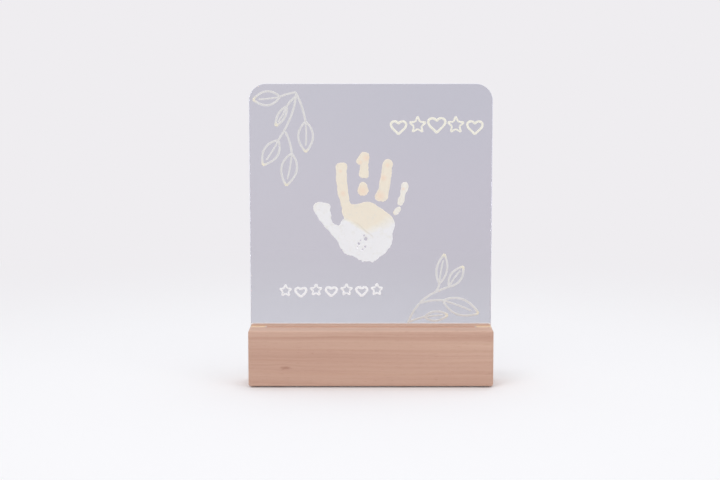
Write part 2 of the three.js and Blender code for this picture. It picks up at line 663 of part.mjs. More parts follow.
function bottomCover() {
  let cover = solid(upright(roundedRect(coverWidth, coverDepth, COVER_CORNER), coverBottom, coverTop));
  const ribTop = coverTop + RIB_HEIGHT;
  const ribEnd = lowPocketWidth / 2 - 2 * FIT;
  const ribLength = ribEnd - wellLength / 2 + WELL_WALL;
  for (const side of [-1, 1]) {
    for (const row of [-1, 1]) {
      const rib = box(ribLength, RIB_THICKNESS, coverTop - CUT, ribTop)
        .translate(side * (ribEnd - ribLength / 2), (row * RIB_SPREAD) / 2, 0);
      cover = cover.add(solid(rib));
    }
    const crossRib = box(RIB_THICKNESS, RIB_SPREAD, coverTop - CUT, ribTop);
    cover = cover.add(solid(crossRib.translate(side * footPlace, 0, 0)));
    const bossTop = lidTop + LID_BOSS_HEIGHT + WELL_WALL;
    const boss = bar(LID_SCREW.shank + FIT + WELL_WALL, coverTop - CUT, bossTop);
    cover = cover.add(solid(boss.translate(side * lidScrewPlace, 0, 0)));
  }
  const shell = wellOutline(cradleRadius + WELL_WALL, coverTop - CUT);
  cover = cover.add(solid(sideways(shell, -wellLength / 2, wellLength / 2, WELL_STEPS)));
  const bay = wellOutline(cradleRadius, coverBottom - CUT);
  cover = cover.subtract(solid(sideways(bay, -bayLength / 2, bayLength / 2, WELL_STEPS)));
  const lidRecess = roundedRect(lidWidth + 2 * FIT, lidDepth + 2 * FIT, LID_CORNER + FIT);
  cover = cover.subtract(solid(upright(lidRecess, coverBottom - CUT, lidTop)));
  for (const [x, y] of lidScrewSpots) {
    cover = cover.subtract(screwHole(LID_SCREW, lidTop - CUT, lidTop + LID_BOSS_HEIGHT).translate(x, y, 0));
  }
  for (const [x, y] of coverScrewSpots) {
    cover = cover.subtract(screwHole(COVER_SCREW, coverBottom - CUT, coverTop + CUT).translate(x, y, 0));
    cover = cover.subtract(screwRecess(COVER_SCREW, coverBottom - CUT, coverBottom + COVER_SCREW.cap)
      .translate(x, y, 0));
  }
  for (const [x, y] of footSpots) {
    const recess = bar(FOOT_RADIUS + FIT, coverBottom - CUT, coverBottom + FOOT_RECESS, FOOT_SIDES);
    cover = cover.subtract(solid(recess.translate(x, y, 0)));
  }
  for (const side of [-1, 1]) {
    const slot = box(CONTACT_THICKNESS + 2 * FIT, LUG_WIDTH + 2 * FIT, cellAxis, wellTop + CUT)
      .translate(lugX, (side * cellPitch) / 2, 0);
    cover = cover.subtract(solid(slot));
  }
  return cover;
}

function footSolid() {
  const top = coverBottom + FOOT_RECESS;
  return turned([
    [0, 0], [FOOT_RADIUS - FOOT_EDGE, 0], [FOOT_RADIUS, FOOT_EDGE], [FOOT_RADIUS, top], [0, top],
  ], FOOT_SIDES);
}

// Battery lid: a plate that drops out of the cover once its two screws are undone

function batteryLid() {
  let lid = solid(upright(roundedRect(lidWidth, lidDepth, LID_CORNER), coverBottom, lidTop));
  const seat = coverBottom + LID_SCREW.cap;
  for (const [x, y] of lidScrewSpots) {
    lid = lid.subtract(screwHole(LID_SCREW, seat - CUT, lidTop + CUT).translate(x, y, 0));
    lid = lid.subtract(screwRecess(LID_SCREW, coverBottom - CUT, seat).translate(x, y, 0));
  }
  return lid;
}

// Cells and contacts

function cellGeometry() {
  const shoulder = CELL_LENGTH - CELL_NIPPLE_HEIGHT;
  return turned([
    [0, 0], [cellRadius - CELL_CRIMP, 0], [cellRadius, CELL_CRIMP], [cellRadius, shoulder - CELL_CRIMP],
    [cellRadius - CELL_CRIMP, shoulder], [CELL_NIPPLE_RADIUS, shoulder], [CELL_NIPPLE_RADIUS, CELL_LENGTH],
    [0, CELL_LENGTH],
  ], CELL_SIDES).rotateY(Math.PI / 2);
}

// A square pad stands behind each row of cells. A strap below the well's middle rib joins two pads, and a
// lug through the well's top takes a lead.
function contactPad(row) {
  const pad = box(CONTACT_THICKNESS, CONTACT_SIZE, padLow, padLow + CONTACT_SIZE);
  return solid(pad.translate(0, (row * cellPitch) / 2, 0));
}

function lugPlate(row) {
  const lug = box(CONTACT_THICKNESS, LUG_WIDTH, cellAxis, lugTop);
  return contactPad(row).add(solid(lug.translate(0, (row * cellPitch) / 2, 0)));
}

function bridgePlate() {
  const strap = solid(box(CONTACT_THICKNESS, cellPitch, padLow, cellAxis));
  return joined([contactPad(-1), strap, contactPad(1)]);
}

// A coil spring along +X from its wide end to its narrow end, as one unbroken tube
function springPoint(share) {
  const turn = share * SPRING_TURNS * 2 * Math.PI;
  const radius = SPRING_WIDE + (SPRING_NARROW - SPRING_WIDE) * share;
  const along = SPRING_WIRE / 2 + SEAT + (SPRING_LENGTH - SPRING_WIRE - 2 * SEAT) * share;
  return new THREE.Vector3(along, radius * Math.cos(turn), radius * Math.sin(turn));
}

function springGeometry() {
  const rings = SPRING_TURNS * SPRING_STEPS;
  const positions = [];
  const corners = [];
  for (let i = 0; i <= rings; i += 1) {
    const here = springPoint(i / rings);
    const ahead = springPoint((i + 0.5) / rings).sub(springPoint((i - 0.5) / rings)).normalize();
    const out = new THREE.Vector3(0, here.y, here.z).normalize();
    const across = new THREE.Vector3().crossVectors(ahead, out).normalize();
    for (let j = 0; j < SPRING_SIDES; j += 1) {
      const turn = (j / SPRING_SIDES) * 2 * Math.PI;
      const point = here.clone();
      point.addScaledVector(out, (SPRING_WIRE / 2) * Math.cos(turn));
      point.addScaledVector(across, (SPRING_WIRE / 2) * Math.sin(turn));
      positions.push(point.x, point.y, point.z);
    }
  }
  for (let i = 0; i < rings; i += 1) {
    for (let j = 0; j < SPRING_SIDES; j += 1) {
      const a = i * SPRING_SIDES + j;
      const b = i * SPRING_SIDES + ((j + 1) % SPRING_SIDES);
      corners.push(a, b, a + SPRING_SIDES);
      corners.push(b, b + SPRING_SIDES, a + SPRING_SIDES);
    }
  }
  const end = rings * SPRING_SIDES;
  for (let j = 1; j < SPRING_SIDES - 1; j += 1) {
    corners.push(0, j + 1, j);
    corners.push(end, end + j, end + j + 1);
  }
  const geometry = new THREE.BufferGeometry();
  geometry.setAttribute('position', new THREE.Float32BufferAttribute(positions, 3));
  geometry.setIndex(corners);
  geometry.computeVertexNormals();
  return geometry;
}

function leastSpringGap() {
  const count = SPRING_TURNS * SPRING_STEPS;
  let least = Infinity;
  for (let i = 0; i <= count; i += 1) {
    for (let j = i + SPRING_STEPS / 2; j <= count; j += 1) {
      least = Math.min(least, springPoint(i / count).distanceTo(springPoint(j / count)) - SPRING_WIRE);
    }
  }
  return least;
}

console.log(`least gap between the battery spring's turns: ${leastSpringGap().toFixed(2)} mm`);

// Control unit: a bezel in the back with a tray that carries the board

function portHole(width, height, front, back) {
  const hole = frontal(roundedRect(width, height, height / 2), front, back, PORT_STEPS);
  return hole.translate(USB_PLACE, 0, portHeight);
}

function rearBezel() {
  const plate = frontal(roundedRect(BEZEL_WIDTH, BEZEL_HEIGHT, BEZEL_CORNER), bezelInner, rear);
  let bezel = solid(plate.translate(0, 0, portHeight));
  const trayLength = boardRear - boardFront + FIT;
  const trayMiddle = bezelInner - trayLength / 2;
  const tray = box(TRAY_WIDTH, trayLength + CUT, trayBottom, boardBottom);
  bezel = bezel.add(solid(tray.translate(0, trayMiddle + CUT / 2, 0)));
  for (const side of [-1, 1]) {
    const wall = box(TRAY_WALL, trayLength + CUT, trayBottom, boardBottom + TRAY_WALL_HEIGHT)
      .translate((side * (TRAY_WIDTH - TRAY_WALL)) / 2, trayMiddle + CUT / 2, 0);
    bezel = bezel.add(solid(wall));
  }
  const notch = box(flangeRoom, bezelInner - buttonWell, trayBottom - CUT, boardBottom + CUT)
    .translate(-BUTTON_PLACE, (bezelInner + buttonWell) / 2, 0);
  bezel = bezel.subtract(solid(notch));
  const hole = frontal(circle(BUTTON_RADIUS + FIT), bezelInner - CUT, rear + CUT, BUTTON_HOLE_STEPS);
  const dish = frontal(circle(DISH_RADIUS), rear - DISH_DEPTH, rear + CUT, DISH_STEPS);
  bezel = bezel.subtract(solid(hole.translate(-BUTTON_PLACE, 0, portHeight)));
  bezel = bezel.subtract(solid(dish.translate(-BUTTON_PLACE, 0, portHeight)));
  const port = portHole(USB_WIDTH + 2 * FIT, USB_HEIGHT + 2 * FIT, bezelInner - CUT, rear + CUT);
  bezel = bezel.subtract(solid(port));
  for (const x of bezelScrewSpots) {
    const recess = screwRecess(SMALL_SCREW, -CUT, SMALL_SCREW.cap).rotate(90, 0, 0);
    const pilot = screwHole(SMALL_SCREW, -CUT, BEZEL_THICKNESS + CUT).rotate(90, 0, 0);
    bezel = bezel.subtract(recess.translate(x, rear, portHeight));
    bezel = bezel.subtract(pilot.translate(x, rear, portHeight));
  }
  return bezel;
}

function controlBoard() {
  const middle = (boardFront + boardRear) / 2;
  const board = solid(box(boardWidth, BOARD_DEPTH, boardBottom, boardTop).translate(0, middle, 0));
  const notch = box(flangeRoom, boardRear - buttonWell + 2 * CUT, boardBottom - CUT, boardTop + CUT)
    .translate(-BUTTON_PLACE, (boardRear + buttonWell) / 2 + CUT, 0);
  return board.subtract(solid(notch));
}

function usbShell() {
  const mouth = rear - FIT;
  const back = mouth - USB_DEPTH;
  const outer = solid(portHole(USB_WIDTH, USB_HEIGHT, back, mouth));
  const walls = 2 * USB_WALL;
  const inner = portHole(USB_WIDTH - walls, USB_HEIGHT - walls, back + USB_WALL, mouth + CUT);
  return outer.subtract(solid(inner));
}

function usbTongue() {
  const back = rear - FIT - USB_DEPTH + USB_WALL;
  const length = USB_DEPTH - USB_WALL - USB_TONGUE_SETBACK;
  return new THREE.BoxGeometry(USB_TONGUE_WIDTH, length, USB_TONGUE_THICKNESS)
    .translate(USB_PLACE, back + length / 2, portHeight);
}

function switchBody() {
  const body = solid(box(SWITCH_WIDTH, SWITCH_DEPTH, boardTop, boardTop + SWITCH_HEIGHT)
    .translate(0, switchFront - SWITCH_DEPTH / 2, 0));
  const reach = STEM_ENTRY + BUTTON_TRAVEL + FIT;
  const bore = frontal(circle(BUTTON_STEM_RADIUS + FIT), switchFront - reach, switchFront + CUT);
  return body.subtract(solid(bore.translate(0, 0, portHeight))).translate(-BUTTON_PLACE, 0, 0);
}

function powerButton() {
  const face = rear - FIT;
  const rim = face - BUTTON_CROWN;
  return turned([
    [0, switchFront - STEM_ENTRY], [BUTTON_STEM_RADIUS, switchFront - STEM_ENTRY],
    [BUTTON_STEM_RADIUS, flangeFront - BUTTON_FLANGE], [buttonFlangeRadius, flangeFront - BUTTON_FLANGE],
    [buttonFlangeRadius, flangeFront], [BUTTON_RADIUS, flangeFront], [BUTTON_RADIUS, rim - BUTTON_CROWN],
    [BUTTON_RADIUS - BUTTON_CROWN, rim], [BUTTON_RADIUS / 2, face - BUTTON_CROWN / 4], [0, face],
  ], BUTTON_SIDES).rotateX(-Math.PI / 2).translate(-BUTTON_PLACE, 0, portHeight);
}

// Leads

function leadGeometry(points) {
  const path = new THREE.CatmullRomCurve3(points.map(([x, y, z]) => new THREE.Vector3(x, y, z)));
  const section = circle(LEAD_DIAMETER / 2);
  return new THREE.ExtrudeGeometry(section, {
    extrudePath: path, steps: LEAD_STEPS, bevelEnabled: false, curveSegments: LEAD_SECTION_STEPS,
  });
}

const underLight = (lugTop + channelBottom) / 2; // midway between the battery's lugs and the light channel
const overTray = boardBottom + TRAY_WALL_HEIGHT + LEAD_RISE;

function leadPadY(side) {
  return boardFront + LEAD_DIAMETER + ((side + 1) / 2) * LEAD_SPREAD;
}

// From a battery lug, over the well, to a pad near the control board's left edge
function batteryLead(side) {
  const startY = (side * cellPitch) / 2;
  const endY = leadPadY(side);
  const padX = -boardWidth / 2 + LEAD_DIAMETER;
  return leadGeometry([
    [lugX, startY, lugTop + FIT],
    [lugX + LEAD_BEND, startY, underLight],
    [(2 * lugX + padX) / 3, (2 * startY + endY) / 3, underLight],
    [-TRAY_WIDTH / 2 - LEAD_BEND, endY, overTray],
    [padX, endY, overTray - LEAD_BEND],
    [padX, endY, boardTop + FIT],
  ]);
}

// From a pad near the control board's right edge to the light board, through the channel's floor
function lightLead(side) {
  const startY = leadPadY(side);
  const endY = (side * LEAD_SPREAD) / 2;
  const padX = boardWidth / 2 - LEAD_DIAMETER;
  return leadGeometry([
    [padX, startY, boardTop + FIT],
    [padX, startY, overTray - LEAD_BEND],
    [TRAY_WIDTH / 2 + LEAD_BEND, startY, overTray],
    [TRAY_WIDTH / 2 + 3 * LEAD_BEND, startY, underLight],
    [ledLeadPlace - LEAD_BEND, endY, underLight],
    [ledLeadPlace, endY, channelBottom],
    [ledLeadPlace, endY, ledBoardBottom - FIT],
  ]);
}

// The assembly

const frame = new THREE.Group();

function add(name, form, material) {
  const geometry = form.isBufferGeometry ? form : geometryOf(form);
  const mesh = new THREE.Mesh(geometry, material);
  mesh.name = name;
  frame.add(mesh);
  return mesh;
}

function addScrew(name, screw, x, y, z, tilt = 0) {
  const mesh = add(name, screwSolid(screw), STEEL);
  mesh.rotation.x = tilt;
  mesh.position.set(x, y, z);
  return mesh;
}

add('wood_base', woodBase(), BEECH);
add('acrylic_panel', acrylicPanel(), TINTED_ACRYLIC);
for (const [name, rows] of Object.entries(PATCHES)) {
  add(name, paintPatch(rows), CREAM_PAINT);
}
const upperSprigPlace = [UPPER_SPRIG_INSET - PANEL_WIDTH / 2, baseTop + PANEL_HEIGHT - UPPER_SPRIG_DROP];
const lowerSprigPlace = [PANEL_WIDTH / 2 - LOWER_SPRIG_INSET, baseTop + LOWER_SPRIG_RISE];
add('sprig_upper', sprigSolid(UPPER_SPRIG, ...upperSprigPlace), PEN_PAINT);
add('sprig_lower', sprigSolid(LOWER_SPRIG, ...lowerSprigPlace), PEN_PAINT);

add('light_channel', lightChannel(), WHITE_PLASTIC);
const ledBoardLength = tabWidth - 2 * FIT;
add('led_board', box(ledBoardLength, LED_BOARD_WIDTH, ledBoardBottom, ledBoardTop), BOARD_LACQUER);
const ledPitch = ledBoardLength / LED_COUNT;
for (let i = 0; i < LED_COUNT; i += 1) {
  const led = add(`led_${String(i + 1).padStart(2, '0')}`, ledSolid(), LED_CASE);
  led.position.x = (i - (LED_COUNT - 1) / 2) * ledPitch;
}
earSpots.forEach(([x, side], i) => {
  addScrew(`channel_screw_${i + 1}`, CHANNEL_SCREW, x, side * earScrewReach, deckUnderside - EAR_THICKNESS);
});

add('bottom_cover', bottomCover(), WHITE_PLASTIC);
coverScrewSpots.forEach(([x, y], i) => {
  addScrew(`cover_screw_${i + 1}`, COVER_SCREW, x, y, coverBottom + COVER_SCREW.cap);
});
footSpots.forEach(([x, y], i) => {
  add(`foot_${i + 1}`, footSolid(), SILICONE).position.set(x, y, 0);
});
add('battery_lid', batteryLid(), WHITE_PLASTIC);
lidScrewSpots.forEach(([x, y], i) => {
  addScrew(`lid_screw_${i + 1}`, LID_SCREW, x, y, coverBottom + LID_SCREW.cap);
});

const springBase = lugX + CONTACT_THICKNESS / 2;
const rowStart = springBase + SPRING_LENGTH + SEAT;
for (const row of [-1, 1]) {
  for (let i = 0; i < CELLS_IN_ROW; i += 1) {
    const number = row === -1 ? i + 1 : CELLS_IN_ROW + i + 1;
    const cell = add(`cell_${number}`, cellGeometry(), CELL_SLEEVE);
    cell.position.set(-row * (rowStart + i * (CELL_LENGTH + SEAT)), (row * cellPitch) / 2, cellAxis);
    cell.rotation.z = row === -1 ? 0 : Math.PI;
  }
}
add('negative_plate', lugPlate(-1), STEEL).position.x = lugX;
add('positive_plate', lugPlate(1), STEEL).position.x = lugX;
add('bridge_plate', bridgePlate(), STEEL).position.x = -lugX;
const negativeSpring = add('negative_spring', springGeometry(), SPRING_STEEL);
negativeSpring.position.set(springBase, -cellPitch / 2, cellAxis);
const bridgeSpring = add('bridge_spring', springGeometry(), SPRING_STEEL);
bridgeSpring.position.set(-springBase, cellPitch / 2, cellAxis);
bridgeSpring.rotation.z = Math.PI;

add('rear_bezel', rearBezel(), GREY_PLASTIC);
bezelScrewSpots.forEach((x, i) => {
  addScrew(`bezel_screw_${i + 1}`, SMALL_SCREW, x, rear - SMALL_SCREW.cap, portHeight, Math.PI / 2);
});
add('control_board', controlBoard(), CONTROL_LACQUER);
add('usb_shell', usbShell(), STEEL);
add('usb_tongue', usbTongue(), BLACK_PLASTIC);
add('switch_body', switchBody(), BLACK_PLASTIC);
add('power_button', powerButton(), BUTTON_PLASTIC);

add('battery_lead_black', batteryLead(-1), BLACK_LEAD);
add('battery_lead_red', batteryLead(1), RED_LEAD);
add('light_lead_black', lightLead(-1), BLACK_LEAD);
add('light_lead_red', lightLead(1), RED_LEAD);

export default frame;
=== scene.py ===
# Looks of a lit print frame: a tinted acrylic panel with a painted handprint and drawn sprigs, in a wooden
# base with a row of lamps. Lengths are in metres, except in the drawings on the panel, which are in
# millimetres or in shares of their own size. Each section starts with its measures and colours.

import math

import bpy
import numpy as np
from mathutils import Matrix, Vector, noise

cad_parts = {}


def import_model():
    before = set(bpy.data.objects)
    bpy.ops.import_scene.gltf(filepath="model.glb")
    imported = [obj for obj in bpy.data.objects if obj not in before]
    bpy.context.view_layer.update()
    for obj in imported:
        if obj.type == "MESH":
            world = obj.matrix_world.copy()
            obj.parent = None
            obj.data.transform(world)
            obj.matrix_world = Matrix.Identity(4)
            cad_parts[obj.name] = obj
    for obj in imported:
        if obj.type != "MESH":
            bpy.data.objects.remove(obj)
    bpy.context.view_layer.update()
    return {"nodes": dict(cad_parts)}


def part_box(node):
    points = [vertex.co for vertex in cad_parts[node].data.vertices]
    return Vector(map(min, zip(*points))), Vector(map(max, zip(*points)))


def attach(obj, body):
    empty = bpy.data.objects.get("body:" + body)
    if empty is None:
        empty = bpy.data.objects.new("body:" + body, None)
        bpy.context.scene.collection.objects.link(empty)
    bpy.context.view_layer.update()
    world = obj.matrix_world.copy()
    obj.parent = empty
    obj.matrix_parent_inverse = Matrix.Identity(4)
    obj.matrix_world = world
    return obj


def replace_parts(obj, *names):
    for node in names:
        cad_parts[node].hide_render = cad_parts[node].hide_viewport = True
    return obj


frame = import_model()
nodes = frame["nodes"]

MM = 0.001

# Places on the panel and the base. The panel's shoulders start at SHOULDER_X.
panel_low, panel_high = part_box("acrylic_panel")
base_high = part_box("wood_base")[1]
BASE_TOP = base_high.z
PANEL_FACE = panel_low.y
SHOULDER_X = 0.0868


def middle_of(node):
    return [(low + high) / 2 for low, high in zip(*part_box(node))]


# Node helpers

# The kinds of ray that see a thing directly, or in glass and metal
SEEING_RAYS = ("Is Camera Ray", "Is Glossy Ray", "Is Transmission Ray")
LIGHT_RAYS = ("Is Shadow Ray", "Is Diffuse Ray")

# Where most of a noise lies
NOISE_SPAN = (0.3, 0.7)


def srgb(*levels):
    """The linear colour for three levels from 0 to 255."""
    shares = [level / 255 for level in levels]
    return tuple(v / 12.92 if v <= 0.04045 else ((v + 0.055) / 1.055) ** 2.4 for v in shares) + (1.0,)


def scaled(color, factor):
    return tuple(min(1.0, c * factor) for c in color[:3]) + (1.0,)


def put(tree, socket, value):
    """Links a socket to an input, or sets any other value on it."""
    if isinstance(value, bpy.types.NodeSocket):
        tree.links.new(value, socket)
    else:
        socket.default_value = value


def add(tree, kind, inputs=None, **settings):
    made = tree.nodes.new(kind)
    for key, value in settings.items():
        setattr(made, key, value)
    for key, value in (inputs or {}).items():
        put(tree, made.inputs[key], value)
    return made


def feed(tree, shader, **inputs):
    """Links or sets the shader's inputs, named with _ for a space."""
    for key, value in inputs.items():
        put(tree, shader.inputs[key.replace("_", " ")], value)


def feed_surface(tree, shader, color, field, rough, relief, bump, **inputs):
    """Feeds a colour, a roughness that can follow a noise, a relief and any other inputs."""
    distance, strength = bump
    normal = add(tree, "ShaderNodeBump", {"Height": relief, "Distance": distance, "Strength": strength})
    if isinstance(rough, tuple):
        rough = range_of(tree, field, *NOISE_SPAN, *rough)
    feed(tree, shader, Base_Color=color, Roughness=rough, Normal=normal.outputs["Normal"], **inputs)


def math_of(tree, operation, value, *others, clamp=False):
    """The operation on a value alone, or on it and each of the others in turn."""
    if not others:
        return add(tree, "ShaderNodeMath", {0: value}, operation=operation).outputs[0]
    for other in others:
        made = add(tree, "ShaderNodeMath", {0: value, 1: other}, operation=operation, use_clamp=clamp)
        value = made.outputs[0]
    return value


def sum_of(tree, *values):
    return math_of(tree, "ADD", *values)


def product_of(tree, *values):
    return math_of(tree, "MULTIPLY", *values)


def size_of(tree, value):
    return math_of(tree, "ABSOLUTE", value)


def length_of(tree, a, b):
    squares = [math_of(tree, "POWER", side, 2.0) for side in (a, b)]
    return math_of(tree, "SQRT", sum_of(tree, *squares))


def place_of(tree):
    """The point being shaded, and its x, y and z, in metres."""
    place = add(tree, "ShaderNodeTexCoord").outputs["Object"]
    return (place, *add(tree, "ShaderNodeSeparateXYZ", {0: place}).outputs)


def attribute_of(tree, name):
    return add(tree, "ShaderNodeAttribute", attribute_name=name).outputs["Fac"]


def stretched(tree, vector, scales):
    return add(tree, "ShaderNodeVectorMath", {0: vector, 1: scales}, operation="MULTIPLY").outputs[0]


def noise_of(tree, place, scale, detail=3.0, rough=0.55):
    """Noise from 0 to 1, with one scale or with one for each axis."""
    if isinstance(scale, tuple):
        place, scale = stretched(tree, place, scale), 1.0
    return add(tree, "ShaderNodeTexNoise", {
        "Vector": place, "Scale": scale, "Detail": detail, "Roughness": rough,
    }).outputs["Fac"]


def swing_of(tree, place, size, scale, detail=3.0):
    """Noise round 0, from minus half the size to half of it."""
    return product_of(tree, sum_of(tree, noise_of(tree, place, scale, detail), -0.5), size)


def range_of(tree, value, low, high, to_low=0.0, to_high=1.0):
    """A smooth step from to_low to to_high while the value goes from low to high."""
    return add(tree, "ShaderNodeMapRange", {
        "Value": value, "From Min": low, "From Max": high, "To Min": to_low, "To Max": to_high,
    }, interpolation_type="SMOOTHSTEP").outputs["Result"]


def ramp_of(tree, factor, stops):
    """The colour between stops, each a place and its colour."""
    ramp = add(tree, "ShaderNodeValToRGB", {"Fac": factor})
    elements = ramp.color_ramp.elements
    for element, (place, color) in zip(elements, (stops[0], stops[-1])):
        element.position = place
        element.color = color
    for place, color in stops[1:-1]:
        elements.new(place).color = color
    return ramp.outputs["Color"]


def mix_of(tree, factor, a, b):
    """The colour that turns from a to b."""
    made = add(tree, "ShaderNodeMix", data_type="RGBA")
    for number, value in ((0, factor), (6, a), (7, b)):
        put(tree, made.inputs[number], value)
    return made.outputs[2]


def marked(tree, color, marks, fields):
    """The colour under marks, each with its tone, its share and the field where it lies."""
    for kind, (tone, share) in marks.items():
        color = mix_of(tree, product_of(tree, fields[kind], share), color, tone)
    return color


def ray_is(tree, kinds):
    """1 for a ray of any of the kinds."""
    path = add(tree, "ShaderNodeLightPath")
    return math_of(tree, "MAXIMUM", *[path.outputs[kind] for kind in kinds])


def either(tree, factor, a, b):
    """A shader that is a where the factor is 0 and b where it is 1."""
    return add(tree, "ShaderNodeMixShader", {0: factor, 1: a, 2: b}).outputs[0]


def show(tree, shader):
    tree.links.new(shader, tree.nodes["Material Output"].inputs["Surface"])


def material(name):
    """A new material with its tree and its Principled shader."""
    made = bpy.data.materials.new(name)
    made.use_nodes = True
    return made, made.node_tree, made.node_tree.nodes["Principled BSDF"]


def new_object(name, data):
    made = bpy.data.objects.new(name, data)
    bpy.context.scene.collection.objects.link(made)
    return made


# Camera: the photograph's viewing angle with a longer lens, shifted to put the object in the same place

IMAGE_WIDTH = 720
IMAGE_HEIGHT = 480
SENSOR_WIDTH = 36.0
CAMERA_PLACE = (0.0, -1.311, 0.273)
CAMERA_PITCH = 6.6
PHOTO_FOCAL_PX = 1012
LENS_FACTOR = 1.59
AXIS_X_PX = 370.85
AXIS_Y_PX = 237.4
CLIP_SPAN = (0.01, 50)


def camera():
    data = bpy.data.cameras.new("camera")
    data.sensor_width = SENSOR_WIDTH
    data.lens = PHOTO_FOCAL_PX * LENS_FACTOR * SENSOR_WIDTH / IMAGE_WIDTH
    data.shift_x = (IMAGE_WIDTH / 2 - AXIS_X_PX) / IMAGE_WIDTH
    data.shift_y = (AXIS_Y_PX - IMAGE_HEIGHT / 2) / IMAGE_WIDTH
    data.clip_start, data.clip_end = CLIP_SPAN
    made = new_object("camera", data)
    made.location = CAMERA_PLACE
    made.rotation_euler = (math.radians(90 - CAMERA_PITCH), 0, 0)
    bpy.context.scene.camera = made


# Stage: the floor turns into the backdrop over FLOOR_SPAN. Each lamp has its place, size and power.

BACKDROP = srgb(239, 237, 240)
FLOOR_LOOK = {"Base_Color": srgb(248, 248, 251), "Roughness": 0.9, "Specular_IOR_Level": 0.1}
FLOOR_HALF = 6.0
FLOOR_SPAN = (0.25, 0.9)
OPENING_INSET = 0.009
WORLD_LIGHT = 0.72
LAMPS = {
    "key": ((-0.9, -1.3, 1.7), 1.2, 9.0),
    "fill": ((1.3, -1.1, 1.0), 1.2, 4.0),
    "top": ((0.1, 0.5, 1.9), 1.0, 5.0),
}
LAMP_TARGET = (0.0, 0.0, 0.1)


def floor_material():
    """Pale floor that fades into the backdrop and can't be seen from below."""
    made, tree, shader = material("floor")
    _, x, y, _ = place_of(tree)
    far = range_of(tree, length_of(tree, x, y), *FLOOR_SPAN)
    feed(tree, shader, **FLOOR_LOOK)
    plain = add(tree, "ShaderNodeEmission", {"Color": BACKDROP, "Strength": 1.0}).outputs[0]
    pale = either(tree, product_of(tree, far, ray_is(tree, SEEING_RAYS)), shader.outputs[0], plain)
    clear = add(tree, "ShaderNodeBsdfTransparent").outputs[0]
    under = add(tree, "ShaderNodeNewGeometry").outputs["Backfacing"]
    show(tree, either(tree, under, pale, clear))
    return made


def floor():
    """A floor with an opening, which the object covers, so that its underside is lit."""
    data = bpy.data.meshes.new("floor")
    halves = [(FLOOR_HALF, FLOOR_HALF), (base_high.x - OPENING_INSET, base_high.y - OPENING_INSET)]
    corners = [(i * x, j * y, 0) for x, y in halves for i, j in ((-1, -1), (1, -1), (1, 1), (-1, 1))]
    data.from_pydata(corners, [], [(i, (i + 1) % 4, 4 + (i + 1) % 4, 4 + i) for i in range(4)])
    data.materials.append(floor_material())
    made = new_object("floor", data)


def world():
    """Even white light, in which the camera sees the backdrop's colour."""
    made = bpy.data.worlds.new("studio")
    made.use_nodes = True
    tree = made.node_tree
    seen = ray_is(tree, SEEING_RAYS)
    background = tree.nodes["Background"]
    put(tree, background.inputs["Color"], mix_of(tree, seen, srgb(255, 255, 255), BACKDROP))
    strength = sum_of(tree, product_of(tree, seen, 1.0 - WORLD_LIGHT), WORLD_LIGHT)
    put(tree, background.inputs["Strength"], strength)
    bpy.context.scene.world = made


def lamps():
    for name, (place, size, power) in LAMPS.items():
        light = bpy.data.lights.new(name, "AREA")
        light.shape = "DISK"
        light.size = size
        light.energy = power
        made = new_object(name, light)
        made.location = place
        made.rotation_euler = (Vector(LAMP_TARGET) - Vector(place)).to_track_quat("-Z", "Y").to_euler()
        made.visible_camera = False
        made.visible_transmission = False


# Wood: growth rings round a pith that lies along X, behind and below the block, and one small knot in front.
# Each grain has its noise, with scales along X, the rings and Y, and its share. Each kind of speck has its
# noise and the span of it that shows.

PITH_Y = 0.16
PITH_Z = -0.2
RING_WANDER = 0.006
RING_WANDER_SCALE = (7.0, 16.0, 16.0)
GRAINS = {
    "fine": (((5.0, 760.0, 9.0), 5.0, 0.62), 0.3),
    "middle": (((4.0, 228.0, 9.0), 2.0, 0.5), 0.34),
    "broad": (((2.5, 68.4, 9.0), 1.0, 0.5), 0.36),
}
WOOD_TONES = [
    (0.34, srgb(189, 151, 133)), (0.45, srgb(199, 161, 143)), (0.51, srgb(202, 165, 147)),
    (0.58, srgb(206, 170, 151)), (0.66, srgb(213, 179, 160)),
]
# The lighter band along the block's top is a painted highlight, where light from above falls
WOOD_MARKS = {
    "late wood": (srgb(180, 134, 113), 0.2), "top edge": (srgb(226, 192, 173), 0.45),
    "flecks": (srgb(170, 124, 103), 0.3), "pores": (srgb(168, 124, 104), 0.2),
    "knot": (srgb(146, 94, 76), 0.45),
}
WOOD_RELIEF = {"fine": 0.6, "flecks": -0.5, "pores": -0.35}
WOOD_BUMP = (0.0001, 0.6)
WOOD_ROUGH = (0.66, 0.52)
WOOD_GLOSS = 0.35
LATE_TURNS = 900.0
LATE_WAVER = 4.0
LATE_SPAN = (0.55, 1.0)
TOP_HIGHLIGHT_SPAN = (BASE_TOP - 0.0012, BASE_TOP - 0.0002)
WOOD_SPECKS = {
    "flecks": (((160.0, 900.0, 1250.0), 2.0, 0.5), (0.60, 0.74)),
    "pores": (((110.0, 2600.0, 3400.0), 2.0, 0.5), (0.54, 0.7)),
}
KNOT_X = -0.0695
KNOT_Z = 0.0165
KNOT_FLATNESS = 0.3
KNOT_Y_SPAN = (-0.012, -0.018)
KNOT_BEND = -0.55
KNOT_BEND_SPAN = (0.006, 0.0)
KNOT_SPAN = (0.0019, 0.0002)
KNOT_RAGGED = 0.0016
KNOT_RAGGED_SCALE = (300.0, 300.0, 900.0)

# The lamps' light on the walls of the slot
SLOT_LIGHT = srgb(236, 190, 168)
SLOT_GLOW = 0.24
SLOT_Y_SPAN = (0.0035, 0.0031)
SLOT_Z_SPAN = (BASE_TOP - 0.014, BASE_TOP - 0.001)
SLOT_RIM = BASE_TOP - 0.00005


